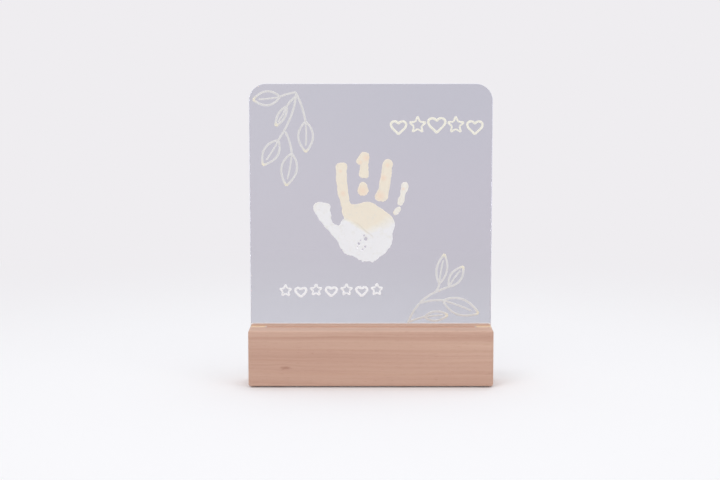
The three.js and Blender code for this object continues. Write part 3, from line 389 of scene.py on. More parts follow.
def slot_light(tree, x, y, z):
    """1 on the lit walls of the slot, between the panel's shoulders."""
    wall = range_of(tree, size_of(tree, y), *SLOT_Y_SPAN)
    height = range_of(tree, z, *SLOT_Z_SPAN)
    between = math_of(tree, "LESS_THAN", size_of(tree, x), SHOULDER_X)
    below = math_of(tree, "LESS_THAN", z, SLOT_RIM)
    return product_of(tree, wall, height, between, below)


def wood_material():
    made, tree, shader = material("oiled_beech")
    place, x, y, z = place_of(tree)
    in_front = range_of(tree, y, *KNOT_Y_SPAN)
    above_knot = sum_of(tree, z, -KNOT_Z)
    from_knot = length_of(tree, product_of(tree, sum_of(tree, x, -KNOT_X), KNOT_FLATNESS), above_knot)
    bend = product_of(tree, range_of(tree, from_knot, *KNOT_BEND_SPAN), in_front, above_knot, KNOT_BEND)
    wander = swing_of(tree, place, RING_WANDER, RING_WANDER_SCALE, detail=2.0)
    rings = sum_of(tree, length_of(tree, sum_of(tree, y, -PITH_Y), sum_of(tree, z, -PITH_Z)), wander, bend)
    sheet = add(tree, "ShaderNodeCombineXYZ", {0: x, 1: rings, 2: y}).outputs[0]
    fields, shares = {}, []
    for kind, (grain, share) in GRAINS.items():
        fields[kind] = noise_of(tree, sheet, *grain)
        shares.append(product_of(tree, fields[kind], share))
    streak = sum_of(tree, *shares)
    turns = sum_of(tree, product_of(tree, rings, LATE_TURNS), product_of(tree, fields["middle"], LATE_WAVER))
    ragged = swing_of(tree, place, KNOT_RAGGED, KNOT_RAGGED_SCALE)
    fields["late wood"] = range_of(tree, math_of(tree, "SINE", turns), *LATE_SPAN)
    # Painted highlight along the top of the block
    fields["top edge"] = range_of(tree, z, *TOP_HIGHLIGHT_SPAN)
    for kind, (speck, span) in WOOD_SPECKS.items():
        fields[kind] = range_of(tree, noise_of(tree, place, *speck), *span)
    fields["knot"] = product_of(tree, range_of(tree, sum_of(tree, from_knot, ragged), *KNOT_SPAN), in_front)
    relief = sum_of(tree, *[product_of(tree, fields[kind], rise) for kind, rise in WOOD_RELIEF.items()])
    color = marked(tree, ramp_of(tree, streak, WOOD_TONES), WOOD_MARKS, fields)
    glow = product_of(tree, slot_light(tree, x, y, z), SLOT_GLOW)
    feed_surface(tree, shader, color, streak, WOOD_ROUGH, relief, WOOD_BUMP, Specular_IOR_Level=WOOD_GLOSS,
                 Emission_Color=SLOT_LIGHT, Emission_Strength=glow)
    return made


# Acrylic: the foot is a clearer, warmer strip over the base, painted as the lamps' glow in the bottom of the
# sheet, and the bars are painted cream and glow on the lit lower edge of each shoulder. The edge faces are
# painted paler, less clear and glowing, as if lit from inside the sheet.

ACRYLIC_TINTS = [
    (0.0, srgb(205, 204, 211)), (0.25, srgb(207, 205, 214)), (0.6, srgb(208, 206, 216)),
    (1.0, srgb(206, 206, 216)),
]
ACRYLIC_MARKS = {
    "left side": (srgb(215, 214, 221), 0.4), "foot": (srgb(242, 236, 232), 1.0),
    "edges": (srgb(230, 230, 238), 1.0), "bars": (srgb(236, 217, 192), 1.0),
}
ACRYLIC_IOR = 1.49
HAZE = 0.4
HAZE_SCALE = 9.0
LEFT_SPAN = (0.09, -0.09)
# Top of the foot's clearer, warmer strip, painted as the lamps' glow
LIT_FOOT_TOP = BASE_TOP + 0.0033
# The edge faces: painted paler colour, lower transmission and painted glow, standing in for light inside the
# sheet
EDGE_DEPTH = 0.00005
EDGE_LIGHT = srgb(214, 212, 224)
EDGE_GLOW = 0.14
LIT_EDGE_TRANSMISSION_CUT = -0.55
BAR_LIGHT = srgb(255, 233, 205)
BAR_GLOW = 0.06
BAR_TOP = BASE_TOP + 0.0012
BAR_BOTTOM = BASE_TOP - 0.0003
BAR_X_SPAN = (SHOULDER_X - 0.0006, SHOULDER_X + 0.0004)
FADE_ABOVE = 0.0004
FADE_BELOW = 0.0002
SMEAR_SCALE = (60.0, 60.0, 34.0)
SMEAR_SPAN = (0.35, 0.75)
SMEAR_ROUGH = (0.015, 0.05)
STRAIGHT_THROUGH = srgb(250, 250, 252)


def up_to(tree, z, height):
    """1 below a height and 0 above it, with a short fade."""
    return range_of(tree, z, height + FADE_ABOVE, height - FADE_BELOW)


def acrylic_material():
    """Tinted clear sheet, which light passes straight through."""
    made, tree, shader = material("tinted_acrylic")
    place, x, y, z = place_of(tree)
    haze = swing_of(tree, place, HAZE, HAZE_SCALE, detail=2.0)
    height = sum_of(tree, range_of(tree, z, BASE_TOP, panel_high.z), haze)
    # Bars: painted cream colour and glow on each shoulder's lower edge, standing in for the lamps' light
    on_shoulder = range_of(tree, size_of(tree, x), *BAR_X_SPAN)
    over_wood = math_of(tree, "GREATER_THAN", z, BAR_BOTTOM)
    bars = product_of(tree, on_shoulder, up_to(tree, z, BAR_TOP), over_wood)
    # Edge faces: painted paler colour, less transmission and glow, standing in for light inside the sheet
    edges = math_of(tree, "LESS_THAN", size_of(tree, y), panel_high.y - EDGE_DEPTH)
    # Foot: a clearer, warmer strip, painted as the lamps' glow in the bottom of the sheet
    fields = {
        "left side": range_of(tree, x, *LEFT_SPAN), "foot": up_to(tree, z, LIT_FOOT_TOP),
        "edges": edges, "bars": bars,
    }
    glow = math_of(tree, "MAXIMUM", product_of(tree, edges, EDGE_GLOW), product_of(tree, bars, BAR_GLOW))
    smears = noise_of(tree, place, SMEAR_SCALE, detail=4.0)
    feed(tree, shader, Base_Color=marked(tree, ramp_of(tree, height, ACRYLIC_TINTS), ACRYLIC_MARKS, fields),
         Roughness=range_of(tree, smears, *SMEAR_SPAN, *SMEAR_ROUGH), IOR=ACRYLIC_IOR,
         Transmission_Weight=sum_of(tree, product_of(tree, edges, LIT_EDGE_TRANSMISSION_CUT), 1.0),
         Emission_Color=mix_of(tree, bars, EDGE_LIGHT, BAR_LIGHT), Emission_Strength=glow)
    clear = add(tree, "ShaderNodeBsdfTransparent", {"Color": STRAIGHT_THROUGH}).outputs[0]
    show(tree, either(tree, ray_is(tree, LIGHT_RAYS), shader.outputs[0], clear))
    return made


# Paint: it starts PAINT_GAP in front of the panel, and its back, up to PAINT_BACK from there, is lit

PAINT_GAP = 0.00002
PAINT_BACK = 0.000005
BACK_GLOW = 0.64
PAINT_TONES = [
    (0.05, srgb(237, 236, 238)), (0.4, srgb(238, 234, 227)), (0.75, srgb(238, 231, 217)),
    (1.0, srgb(238, 228, 211)),
]
PAINT_MARKS = {
    "mottle": (srgb(225, 222, 214), 0.4), "blush": (srgb(240, 208, 184), 0.55),
    "thin paint": (srgb(216, 213, 213), 0.3), "crease": (srgb(208, 198, 184), 0.6),
}
CLOUD = 0.5
CLOUD_SCALE = 130.0
MOTTLE_NOISE = (260.0, 4.0, 0.65)
MOTTLE_SPAN = (0.5, 0.72)
THIN_NOISE = (520.0, 4.0, 0.7)
THIN_SPAN = (0.60, 0.78)
SKIN_WAVES = {"Scale": 520.0, "Distortion": 9.0, "Detail": 2.0, "Detail Scale": 0.6}
SKIN_RISE = 0.25
PAINT_BUMP = (0.0001, 0.6)
PAINT_ROUGH = (0.42, 0.6)

# The colours of each pen's line and of the dab where it stops
PENS = {
    "pen_cream": {"line": srgb(221, 219, 218), "dab": srgb(238, 230, 208)},
    "pen_warm": {"line": srgb(240, 237, 224), "dab": srgb(244, 242, 232)},
    "pen_chalk": {"line": srgb(244, 243, 244), "dab": srgb(246, 245, 246)},
}
PEN_PATCH_NOISE = (420.0, 3.0, 0.65)
PEN_PATCH_SPAN = (0.35, 0.8)
PEN_PATCH_SHARE = 0.3
PEN_PATCH_SHADE = 0.82
PEN_BUMP = (0.00008, 0.5)
PEN_ROUGH = (0.38, 0.55)


def back_glow(tree, y):
    """Light from inside the sheet on the back of a coat of paint."""
    behind = math_of(tree, "GREATER_THAN", y, PANEL_FACE - PAINT_GAP - PAINT_BACK)
    return product_of(tree, behind, BACK_GLOW)


def paint_material():
    """Hand-pressed paint, with the skin's lines in its relief."""
    made, tree, shader = material("hand_paint")
    place, _, y, _ = place_of(tree)
    cloud = swing_of(tree, place, CLOUD, CLOUD_SCALE)
    warmth = math_of(tree, "ADD", attribute_of(tree, "warmth"), cloud, clamp=True)
    mottle = noise_of(tree, place, *MOTTLE_NOISE)
    thin = noise_of(tree, place, *THIN_NOISE)
    fields = {
        "mottle": range_of(tree, mottle, *MOTTLE_SPAN), "blush": attribute_of(tree, "blush"),
        "thin paint": range_of(tree, thin, *THIN_SPAN), "crease": attribute_of(tree, "crease"),
    }
    color = marked(tree, ramp_of(tree, warmth, PAINT_TONES), PAINT_MARKS, fields)
    skin = add(tree, "ShaderNodeTexWave", {"Vector": place, **SKIN_WAVES}, wave_type="RINGS").outputs["Fac"]
    height = sum_of(tree, product_of(tree, skin, SKIN_RISE), thin)
    feed_surface(tree, shader, color, thin, PAINT_ROUGH, height, PAINT_BUMP, Emission_Color=color,
                 Emission_Strength=back_glow(tree, y))
    return made


def pen_material(name, line, dab):
    """Paint pen, with more paint where the pen has stopped."""
    made, tree, shader = material(name)
    place, _, y, _ = place_of(tree)
    patchy = noise_of(tree, place, *PEN_PATCH_NOISE)
    patches = range_of(tree, patchy, *PEN_PATCH_SPAN, 0.0, PEN_PATCH_SHARE)
    color = mix_of(tree, patches, line, scaled(line, PEN_PATCH_SHADE))
    color = mix_of(tree, attribute_of(tree, "dwell"), color, dab)
    feed_surface(tree, shader, color, patchy, PEN_ROUGH, patchy, PEN_BUMP, Emission_Color=color,
                 Emission_Strength=back_glow(tree, y))
    return made


# Plastic, metal, silicone, boards, lamps and cells

PLASTICS = {
    "white_plastic": {"color": srgb(233, 232, 228), "rough": 0.48},
    "grey_plastic": {"color": srgb(86, 88, 91), "rough": 0.55, "depth": 0.00005, "spread": 0.1},
    "button_plastic": {"color": srgb(219, 217, 211), "rough": 0.32, "grain": 900.0, "depth": 0.00001},
    "black_plastic": {"color": srgb(26, 27, 29), "rough": 0.45, "spread": 0.15},
    "red_lead": {"color": srgb(180, 50, 44), "rough": 0.4, "grain": 1500.0},
    "black_lead": {"color": srgb(34, 34, 36), "rough": 0.4, "grain": 1500.0},
    "chip_black": {"color": srgb(30, 31, 33), "rough": 0.5, "grain": 4000.0},
    "chip_tan": {"color": srgb(176, 150, 118), "rough": 0.4, "grain": 4000.0},
    "sign_print": {"color": srgb(104, 106, 110), "rough": 0.5},
}
FLOW_SCALE = (18.0, 60.0, 60.0)
SPARK_KIND = (2.0, 0.6)
SPARK_STRENGTH = 0.8
ROUGH_SWING = 0.06

METAL_SHADE = 0.86


def metal(color, scales, rough):
    """The look of plated metal, drawn or brushed."""
    return {
        "tones": (scaled(color, METAL_SHADE), color), "grain": (scales, 4.0, 0.6), "rough": rough,
        "bump": (0.00001, 0.5), "Metallic": 1.0,
    }


# Finishes in which one noise gives the colour, gloss and relief
TEXTURED = {
    "nickel": metal(srgb(196, 198, 200), (900.0, 900.0, 5400.0), (0.24, 0.38)),
    "spring_wire": metal(srgb(206, 208, 210), (2000.0, 500.0, 500.0), (0.16, 0.3)),
    "silicone": {
        "tones": (srgb(208, 210, 211), srgb(220, 221, 221)), "grain": (700.0,), "rough": (0.5, 0.68),
        "bump": (0.00003, 0.5), "Subsurface_Weight": 0.25, "Subsurface_Radius": (0.002, 0.002, 0.002),
    },
}

BOARDS = {
    "light_board": {"color": srgb(231, 233, 230), "track": srgb(214, 218, 214), "pitch": 0.004},
    "control_board": {"color": srgb(28, 104, 66), "track": srgb(62, 140, 92), "pitch": 0.0018},
}
TRACKS = {"Mortar Size": 0.06, "Brick Width": 1.7, "Row Height": 0.5}
LACQUER_SCALE = 500.0
LACQUER_SPAN = (0.4, 0.7)
LACQUER_SHARE = 0.3
LACQUER_BUMP = (0.00002, 0.5)
LACQUER_ROUGH = 0.32

LAMP_CASE = srgb(240, 236, 226)
PHOSPHOR = srgb(246, 214, 120)
LAMP_LIGHT = srgb(255, 232, 190)
LAMP_GLOW = 3.0
LAMP_ROUGH = 0.4
WINDOW_SPAN = (0.0021, 0.0019)

# A cell's bands, each with its start, in shares of the cell's length from its flat end
CELL_BANDS = [
    (0.0, srgb(186, 188, 190)), (0.014, srgb(54, 118, 140)), (0.66, srgb(214, 218, 220)),
    (0.69, srgb(42, 62, 92)), (0.955, srgb(186, 188, 190)),
]
BAND_BLUR = 0.002
SCUFF_COLOR = srgb(150, 170, 180)
SCUFF_NOISE = (300.0, 4.0, 0.7)
SCUFF_SPAN = (0.55, 0.8)
SCUFF_SHARE = 0.3
SLEEVE_ROUGH = (0.25, 0.4)
SLEEVE_COAT = {"Coat_Weight": 0.4, "Coat_Roughness": 0.2}


def plastic_material(name, color, rough, grain=2600.0, depth=0.00003, spread=0.06):
    """Moulded plastic with a fine spark texture."""
    made, tree, shader = material(name)
    place = place_of(tree)[0]
    spark = noise_of(tree, place, grain, *SPARK_KIND)
    tones = zip(NOISE_SPAN, (scaled(color, 1 - spread), scaled(color, 1 + spread)))
    feed_surface(tree, shader, ramp_of(tree, noise_of(tree, place, FLOW_SCALE), list(tones)), spark,
                 (rough - ROUGH_SWING, rough + ROUGH_SWING), spark, (depth, SPARK_STRENGTH))
    return made


def textured_material(name, tones, grain, rough, bump, **inputs):
    made, tree, shader = material(name)
    field = noise_of(tree, place_of(tree)[0], *grain)
    color = ramp_of(tree, field, list(zip(NOISE_SPAN, tones)))
    feed_surface(tree, shader, color, field, rough, field, bump, **inputs)
    return made


def board_material(name, color, track, pitch):
    """Lacquered circuit board, with tracks under the lacquer."""
    made, tree, shader = material(name)
    place = place_of(tree)[0]
    from_above = stretched(tree, place, (1.0, 1.0, 0.0))
    tracks = add(tree, "ShaderNodeTexBrick", {
        "Vector": from_above, "Scale": 1 / pitch, "Color1": color, "Color2": color, "Mortar": track, **TRACKS,
    }).outputs["Color"]
    cloud = noise_of(tree, place, LACQUER_SCALE)
    veil = range_of(tree, cloud, *LACQUER_SPAN, 0.0, LACQUER_SHARE)
    color = mix_of(tree, veil, tracks, color)
    feed_surface(tree, shader, color, cloud, LACQUER_ROUGH, cloud, LACQUER_BUMP)
    return made


def lamp_material():
    """Lamp case with a round window that glows, for the whole row."""
    made, tree, shader = material("lamp")
    _, x, y, _ = place_of(tree)
    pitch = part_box("led_02")[0].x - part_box("led_01")[0].x
    turns = math_of(tree, "DIVIDE", sum_of(tree, x, -middle_of("led_01")[0]), pitch)
    across = product_of(tree, math_of(tree, "SUBTRACT", turns, math_of(tree, "ROUND", turns)), pitch)
    window = range_of(tree, length_of(tree, across, y), *WINDOW_SPAN)
    feed(tree, shader, Base_Color=mix_of(tree, window, LAMP_CASE, PHOSPHOR), Roughness=LAMP_ROUGH,
         Emission_Color=LAMP_LIGHT, Emission_Strength=product_of(tree, window, LAMP_GLOW))
    return made


def sleeve_material(name):
    """A cell's sleeve, in bands of colour between its bare ends."""
    made, tree, shader = material(name + "_sleeve")
    place, x, _, _ = place_of(tree)
    low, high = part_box(name)
    raised_end_right = low.y + high.y < 0
    flat, raised = (low.x, high.x) if raised_end_right else (high.x, low.x)
    along = add(tree, "ShaderNodeMapRange", {"Value": x, "From Min": flat, "From Max": raised}).outputs[0]
    ends = [start - BAND_BLUR for start, _ in CELL_BANDS[1:]] + [1.0]
    stops = []
    for (start, color), end in zip(CELL_BANDS, ends):
        stops += [(start, color), (end, color)]
    scuffs = noise_of(tree, place, *SCUFF_NOISE)
    scuffed = range_of(tree, scuffs, *SCUFF_SPAN, 0.0, SCUFF_SHARE)
    feed(tree, shader, Base_Color=mix_of(tree, scuffed, ramp_of(tree, along, stops), SCUFF_COLOR),
         Roughness=range_of(tree, scuffs, *NOISE_SPAN, *SLEEVE_ROUGH), **SLEEVE_COAT)
    return made


# Handprint: each patch of paint is a set of chains of round spots, (x, z, radius) each, in shares of the
# palm's radius. Other lengths here are in millimetres.

PALM_RADIUS = 24
PALM_X = -3.2
PALM_ABOVE_BASE = 78.5
PALM = [
    [(-0.53, 0.7, 0.27), (0.02, 0.59, 0.46), (0.44, 0.26, 0.47)],
    [(-0.62, 0.22, 0.3), (-0.56, -0.46, 0.31), (0.06, -0.68, 0.36), (0.3, -0.48, 0.38)],
    [(-0.02, 0.2, 0.66), (0.24, -0.18, 0.63), (0.44, 0.26, 0.47)],
]
THUMB = [
    [(-0.66, -0.1, 0.28), (-1.04, 0.04, 0.16), (-1.3, 0.25, 0.14), (-1.45, 0.56, 0.22), (-1.6, 0.82, 0.2)],
    [(-1.4, 0.6, 0.14), (-1.39, 0.87, 0.15), (-1.62, 0.84, 0.19)],
    [(-1.04, 0.04, 0.16), (-0.7, -0.42, 0.2), (-0.6, -0.55, 0.2)],
]
INDEX_FINGER = [
    [(-0.63, 0.7, 0.19), (-0.75, 1.05, 0.16), (-0.81, 1.36, 0.18), (-0.87, 1.8, 0.185), (-0.86, 2.21, 0.17)],
    [(-0.95, 2.25, 0.1), (-0.79, 2.28, 0.1)],
]
PATCHES = {
    "hand_print": [*PALM, *THUMB, *INDEX_FINGER],
    "middle_print_tip": [
        [(-0.1, 2.04, 0.14), (-0.09, 2.34, 0.14), (-0.07, 2.6, 0.16), (-0.24, 2.44, 0.13)],
        [(-0.17, 1.97, 0.09), (-0.04, 1.97, 0.09)],
    ],
    "middle_print_base": [[(-0.14, 1.45, 0.19), (-0.13, 1.59, 0.14)]],
    "ring_print": [
        [(0.5, 1.26, 0.19), (0.58, 1.53, 0.18), (0.65, 1.96, 0.18), (0.71, 2.34, 0.17)],
        [(0.42, 1.22, 0.12), (0.58, 1.24, 0.13)],
    ],
    "little_print_tip": [
        [(1.13, 1.02, 0.1), (1.17, 1.12, 0.12), (1.22, 1.3, 0.07), (1.27, 1.48, 0.12), (1.29, 1.6, 0.13)],
    ],
    "little_print_base": [[(0.98, 0.68, 0.09), (1.08, 0.82, 0.08)]],
}
SPOT_FILLET = 0.9

# Unevenness of the print: the size of each noise's features and its layer, then its strengths
PRINT_NOISES = {
    "wave": (4.2, 1.7), "ragged": (1.5, 5.2), "heel notches": (2.1, 9.1), "heel wave": (5.3, 6.4),
    "border": (5.0, 3.3), "coat": (1.1, 7.7),
}
EDGE_WAVE = 0.5
EDGE_RAGGED = 0.34
HEEL_TOP = -9
HEEL_FADE = 8
HEEL_WAVE = 1.3
HEEL_INSET = 0.3

# Spots left bare, wider than high
BARE_SPOTS = [
    (-0.04, -0.21, 0.06), (-0.1, -0.1, 0.025), (-0.28, -0.38, 0.042), (-0.22, -0.27, 0.026),
    (-0.06, -0.48, 0.034), (-0.15, -0.57, 0.03), (-0.32, -0.5, 0.022),
]
BARE_FLATNESS = 0.9
BARE_RAGGED = 0.5

# The paint turns from white to peach over a border that rises to both sides and is softer on the right. The
# thumb, left of and below its corner, is nearly white.
BORDER_Z = 0.7
BORDER_SLOPES = (-0.6, 0.5)
BORDER_WAVE = 1.2
BORDER_SOFTNESS = 6
SOFTNESS_SLOPE = 0.35
SOFTNESS_SPAN = (3, 12)
THUMB_CORNER = (-23, 26)
THUMB_WARMTH = 0.12
THUMB_WARM_Z = 12
THUMB_WARM_FADE = 8
LITTLE_CORNER = (22.5, 13)
LITTLE_WARMTH = 0.45
BLUSH_SPOTS = [
    (-0.14, 1.42, 0.26), (0.45, 1.26, 0.22), (0.56, 1.87, 0.15), (0.7, 2.3, 0.11), (-0.02, 2.55, 0.17),
    (-0.22, 2.4, 0.1), (-0.81, 1.34, 0.14), (-0.9, 2.1, 0.08), (1.24, 1.5, 0.08),
]

# The palm's crease, which fades away from its middle
CREASE = [(-0.6, 0.48), (-0.3, 0.3), (-0.14, 0.14), (-0.03, 0.04), (0.2, -0.12)]
CREASE_WIDTH = 0.45
CREASE_MIDDLE = (-2, 1.5)
CREASE_REACH = 14
CREASE_DEPTH = 0.06

# The coat of paint: its grid, its thickness in the middle and at the rim, and its slope at the edge
PATCH_MARGIN = 2.4
GRID_STEP = 0.4
EDGE_REACH = 1.4
LEAST_SLOPE = 1e-6
PAINT_THIN = 0.1
PAINT_RIM = 0.16
PAINT_GRAIN = 0.035
RIM_INSET = 0.9
RIM_WIDTH = 0.8
EDGE_SLOPE = 2.0
EDGE_START = 0.25


def in_mm(rows):
    return [tuple(v * PALM_RADIUS for v in row) for row in rows]


def noise_field(x, z, kind):
    """Smooth noise from -1 to 1 at each point."""
    size, layer = PRINT_NOISES[kind]
    spots = zip((x / size).ravel(), (z / size).ravel())
    return np.array([noise.noise(Vector((a, b, layer))) for a, b in spots]).reshape(x.shape)


def chain_distance(x, z, chain):
    """How far points are outside a chain of spots, less than 0 inside."""
    best = np.full(x.shape, np.inf)
    for (start_x, start_z, start_radius), (end_x, end_z, end_radius) in zip(chain, chain[1:]):
        dx, dz = end_x - start_x, end_z - start_z
        share = np.clip(((x - start_x) * dx + (z - start_z) * dz) / (dx * dx + dz * dz), 0, 1)
        away = np.hypot(x - start_x - share * dx, z - start_z - share * dz)
        best = np.minimum(best, away - start_radius - share * (end_radius - start_radius))
    return best


def patch_distance(x, z, chains):
    """How far points are outside a patch, with fillets between its chains."""
    shares = [np.exp(-chain_distance(x, z, chain) / SPOT_FILLET) for chain in chains]
    d = -SPOT_FILLET * np.log(sum(shares))
    ragged = noise_field(x, z, "ragged")
    heel = np.clip((HEEL_TOP - z) / HEEL_FADE, 0, 1)
    heel_waves = noise_field(x, z, "heel notches") + noise_field(x, z, "heel wave")
    d += EDGE_WAVE * noise_field(x, z, "wave") + EDGE_RAGGED * ragged
    d += heel * (HEEL_WAVE * heel_waves + HEEL_INSET)
    for spot_x, spot_z, radius in in_mm(BARE_SPOTS):
        into_spot = radius + BARE_RAGGED * ragged - np.hypot(BARE_FLATNESS * (x - spot_x), z - spot_z)
        d = np.maximum(d, into_spot)
    return d


def warmth_field(x, z):
    """1 where the paint is peach, 0 where it is white."""
    left_slope, right_slope = BORDER_SLOPES
    border = BORDER_Z + np.where(x < 0, left_slope * x, right_slope * x)
    border += BORDER_WAVE * noise_field(x, z, "border")
    softness = np.clip(BORDER_SOFTNESS + SOFTNESS_SLOPE * x, *SOFTNESS_SPAN)
    warmth = np.clip((z - border) / softness + 0.5, 0, 1)
    thumb = (x < THUMB_CORNER[0]) & (z < THUMB_CORNER[1])
    warmth = np.where(thumb, THUMB_WARMTH * np.clip((z - THUMB_WARM_Z) / THUMB_WARM_FADE, 0, 1), warmth)
    little_finger = (x > LITTLE_CORNER[0]) & (z > LITTLE_CORNER[1])
    return np.where(little_finger, LITTLE_WARMTH, warmth)


def blush_field(x, z):
    """1 in the middle of a pink spot, 0 outside the spots."""
    spots = [1 - np.hypot(x - a, z - b) / r for a, b, r in in_mm(BLUSH_SPOTS)]
    return np.clip(np.max(spots, axis=0), 0, 1)


def crease_field(x, z):
    """1 in the crease, 0 away from it."""
    line = [(*spot, 0.0) for spot in in_mm(CREASE)]
    from_middle = np.hypot(x - CREASE_MIDDLE[0], z - CREASE_MIDDLE[1])
    fade = np.clip(1 - from_middle / CREASE_REACH, 0, 1)
    return np.exp(-((chain_distance(x, z, line) / CREASE_WIDTH) ** 2)) * fade


def patch_grid(chains):
    """The x and z of a grid that covers a patch."""
    spots = np.array([spot for chain in chains for spot in chain])
    low = (spots[:, :2] - spots[:, 2:]).min(axis=0) - PATCH_MARGIN
    high = (spots[:, :2] + spots[:, 2:]).max(axis=0) + PATCH_MARGIN
    return np.meshgrid(*[np.arange(a, b, GRID_STEP) for a, b in zip(low, high)], indexing="ij")


def pulled_to_edge(x, z, d):
    """The grid with its corners outside the patch moved onto its edge."""
    slope_x, slope_z = np.gradient(d, GRID_STEP)
    steep = np.maximum(np.hypot(slope_x, slope_z), LEAST_SLOPE)
    step = np.where(d < 0, 0, np.minimum(d, EDGE_REACH * GRID_STEP))
    return x - slope_x / steep * step, z - slope_z / steep * step


def coat_thickness(x, z, d, crease):
    """The paint's thickness, greatest at the rim and none outside."""
    rim = np.exp(-(((-d - RIM_INSET) / RIM_WIDTH) ** 2))
    thick = PAINT_THIN + PAINT_RIM * rim + PAINT_GRAIN * noise_field(x, z, "coat") - CREASE_DEPTH * crease
    return np.where(d < 0, thick * np.minimum(1.0, EDGE_START - EDGE_SLOPE * d), 0)


# Meshes

SHARP_ANGLE = math.radians(50)


def bar(points, faces, rings):
    """Adds a closed bar to a mesh, from rings of points."""
    first, count = len(points), len(rings[0])
    last = first + (len(rings) - 1) * count
    points += [point for ring in rings for point in ring]
    for start in range(first, last, count):
        for c in range(count):
            a, b = start + c, start + (c + 1) % count
            faces.append((a, b, b + count, a + count))
    faces.append([first + c for c in reversed(range(count))])
    faces.append([last + c for c in range(count)])


def mesh_object(name, points, faces, finish, body, attributes=None, smooth=True):
    """A piece with its finish, on its body."""
    data = bpy.data.meshes.new(name)
    data.from_pydata(points, [], faces)
    for key, values in (attributes or {}).items():
        data.attributes.new(key, "FLOAT", "POINT").data.foreach_set("value", np.asarray(values, np.float32))
    data.materials.append(finish)
    if smooth:
        data.shade_smooth()
        data.set_sharp_from_angle(angle=SHARP_ANGLE)
    data.validate()
    made = new_object(name, data)
    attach(made, body)
    return made


def paint_patch(node, finish):
    """A closed coat of paint in place of a CAD node."""
    chains = [in_mm(chain) for chain in PATCHES[node]]
    x, z = patch_grid(chains)
    d = patch_distance(x, z, chains)
    inside = d < 0
    x, z = pulled_to_edge(x, z, d)
    crease = crease_field(x, z)
    thick = coat_thickness(x, z, d, crease)
    looks = {"warmth": warmth_field(x, z), "blush": blush_field(x, z), "crease": crease}
    points, faces = [], []
    kept = {key: [] for key in looks}
    front, back = {}, {}

    def keep(i, j, rise):
        up = BASE_TOP + (PALM_ABOVE_BASE + z[i, j]) * MM
        points.append(((PALM_X + x[i, j]) * MM, PANEL_FACE - PAINT_GAP - rise * MM, up))
        for key, field in looks.items():
            kept[key].append(field[i, j])
        return len(points) - 1

    # An inner corner has a front and a back, and an outer one, on the edge, is both
    for i in range(x.shape[0] - 1):
        for j in range(x.shape[1] - 1):
            cell = [(i, j), (i + 1, j), (i + 1, j + 1), (i, j + 1)]
            if not any(inside[spot] for spot in cell):
                continue
            for spot in cell:
                if spot not in front:
                    back[spot] = keep(*spot, 0.0)
                    front[spot] = keep(*spot, thick[spot]) if inside[spot] else back[spot]
            faces.append([front[spot] for spot in cell])
            faces.append([back[spot] for spot in reversed(cell)])
    made = mesh_object("paint_" + node, points, faces, finish, "panel", kept)
    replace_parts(made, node)


# Sprigs: each stem's start, bend and end, and each leaf's base, tip and width, in shares of the sprig's
# length. Origins are in millimetres, from the middle of the panel and the top of the base.

UPPER_SPRIG = {
    "origin": (-60.6, 193.0),
    "length": 76,
    "stems": [
        ((0, 0), (-0.08, -0.01), (-0.18, -0.05)), ((0, 0), (-0.01, -0.25), (-0.2, -0.52)),
        ((-0.01, -0.05), (-0.06, -0.09), (-0.1, -0.15)), ((0, -0.01), (0.07, -0.14), (0.1, -0.32)),
        ((-0.12, -0.42), (-0.06, -0.52), (-0.05, -0.66)),
    ],
    "leaves": [
        ((-0.17, -0.05), (-0.46, -0.08), 0.17), ((-0.1, -0.15), (-0.22, -0.36), 0.1),
        ((0.1, -0.31), (0.1, -0.64), 0.18), ((-0.19, -0.51), (-0.36, -0.78), 0.18),
        ((-0.05, -0.65), (-0.11, -1), 0.19),
    ],
}
LOWER_SPRIG = {
    "origin": (30.4, 3.2),
    "length": 60,
    "stems": [
        ((0, 0), (0.06, 0.17), (0.16, 0.28)), ((0.16, 0.28), (0.28, 0.42), (0.59, 0.52)),
        ((0.38, 0.45), (0.42, 0.48), (0.43, 0.56)), ((0.16, 0.28), (0.33, 0.34), (0.52, 0.32)),
        ((0.01, 0.02), (0.12, 0.07), (0.25, 0.1)),
    ],
    "leaves": [
        ((0.43, 0.55), (0.5, 0.96), 0.17), ((0.56, 0.51), (0.76, 0.79), 0.18),
        ((0.48, 0.32), (0.97, 0.14), 0.25), ((0.23, 0.09), (0.55, 0.12), 0.16),
    ],
}
LEAF_BELLY = 0.45
RIB_REACH = 0.8
RIB_BEND = 0.04
RIB_WEIGHT = 0.8
CURVE_STEPS = 14

# Small plain marks in two rows, (kind, x, height above the base, size)
UPPER_MARKS = [
    ("heart", 22.5, 165.0, 12.5), ("star", 38.0, 166.5, 13.0), ("heart", 53.5, 167.0, 14.0),
    ("star", 69.0, 166.5, 13.0), ("heart", 84.5, 165.0, 12.5),
]
LOWER_MARKS = [
    ("star", -70.0, 30.5, 9.5), ("heart", -57.5, 29.6, 9.0), ("star", -45.0, 31.0, 9.5),
    ("heart", -32.5, 30.0, 9.0), ("star", -20.0, 31.2, 9.5), ("heart", -7.5, 30.2, 9.0),
    ("star", 5.0, 31.4, 9.5),
]
MARK_WEIGHT = 1.08
HEART_STEPS = 16
HEART_HALF_WIDTH = 0.5
HEART_WAVES = (0.40, -0.16, -0.06, -0.02)
STAR_POINTS = 5
STAR_RADII = (0.54, 0.25)


def curve(start, bend, end):
    """Points of an arc from start to end, drawn towards bend."""
    found = []
    for i in range(CURVE_STEPS + 1):
        t = i / CURVE_STEPS
        a, b, c = (1 - t) ** 2, 2 * t * (1 - t), t * t
        found.append(tuple(a * u + b * v + c * w for u, v, w in zip(start, bend, end)))
    return found


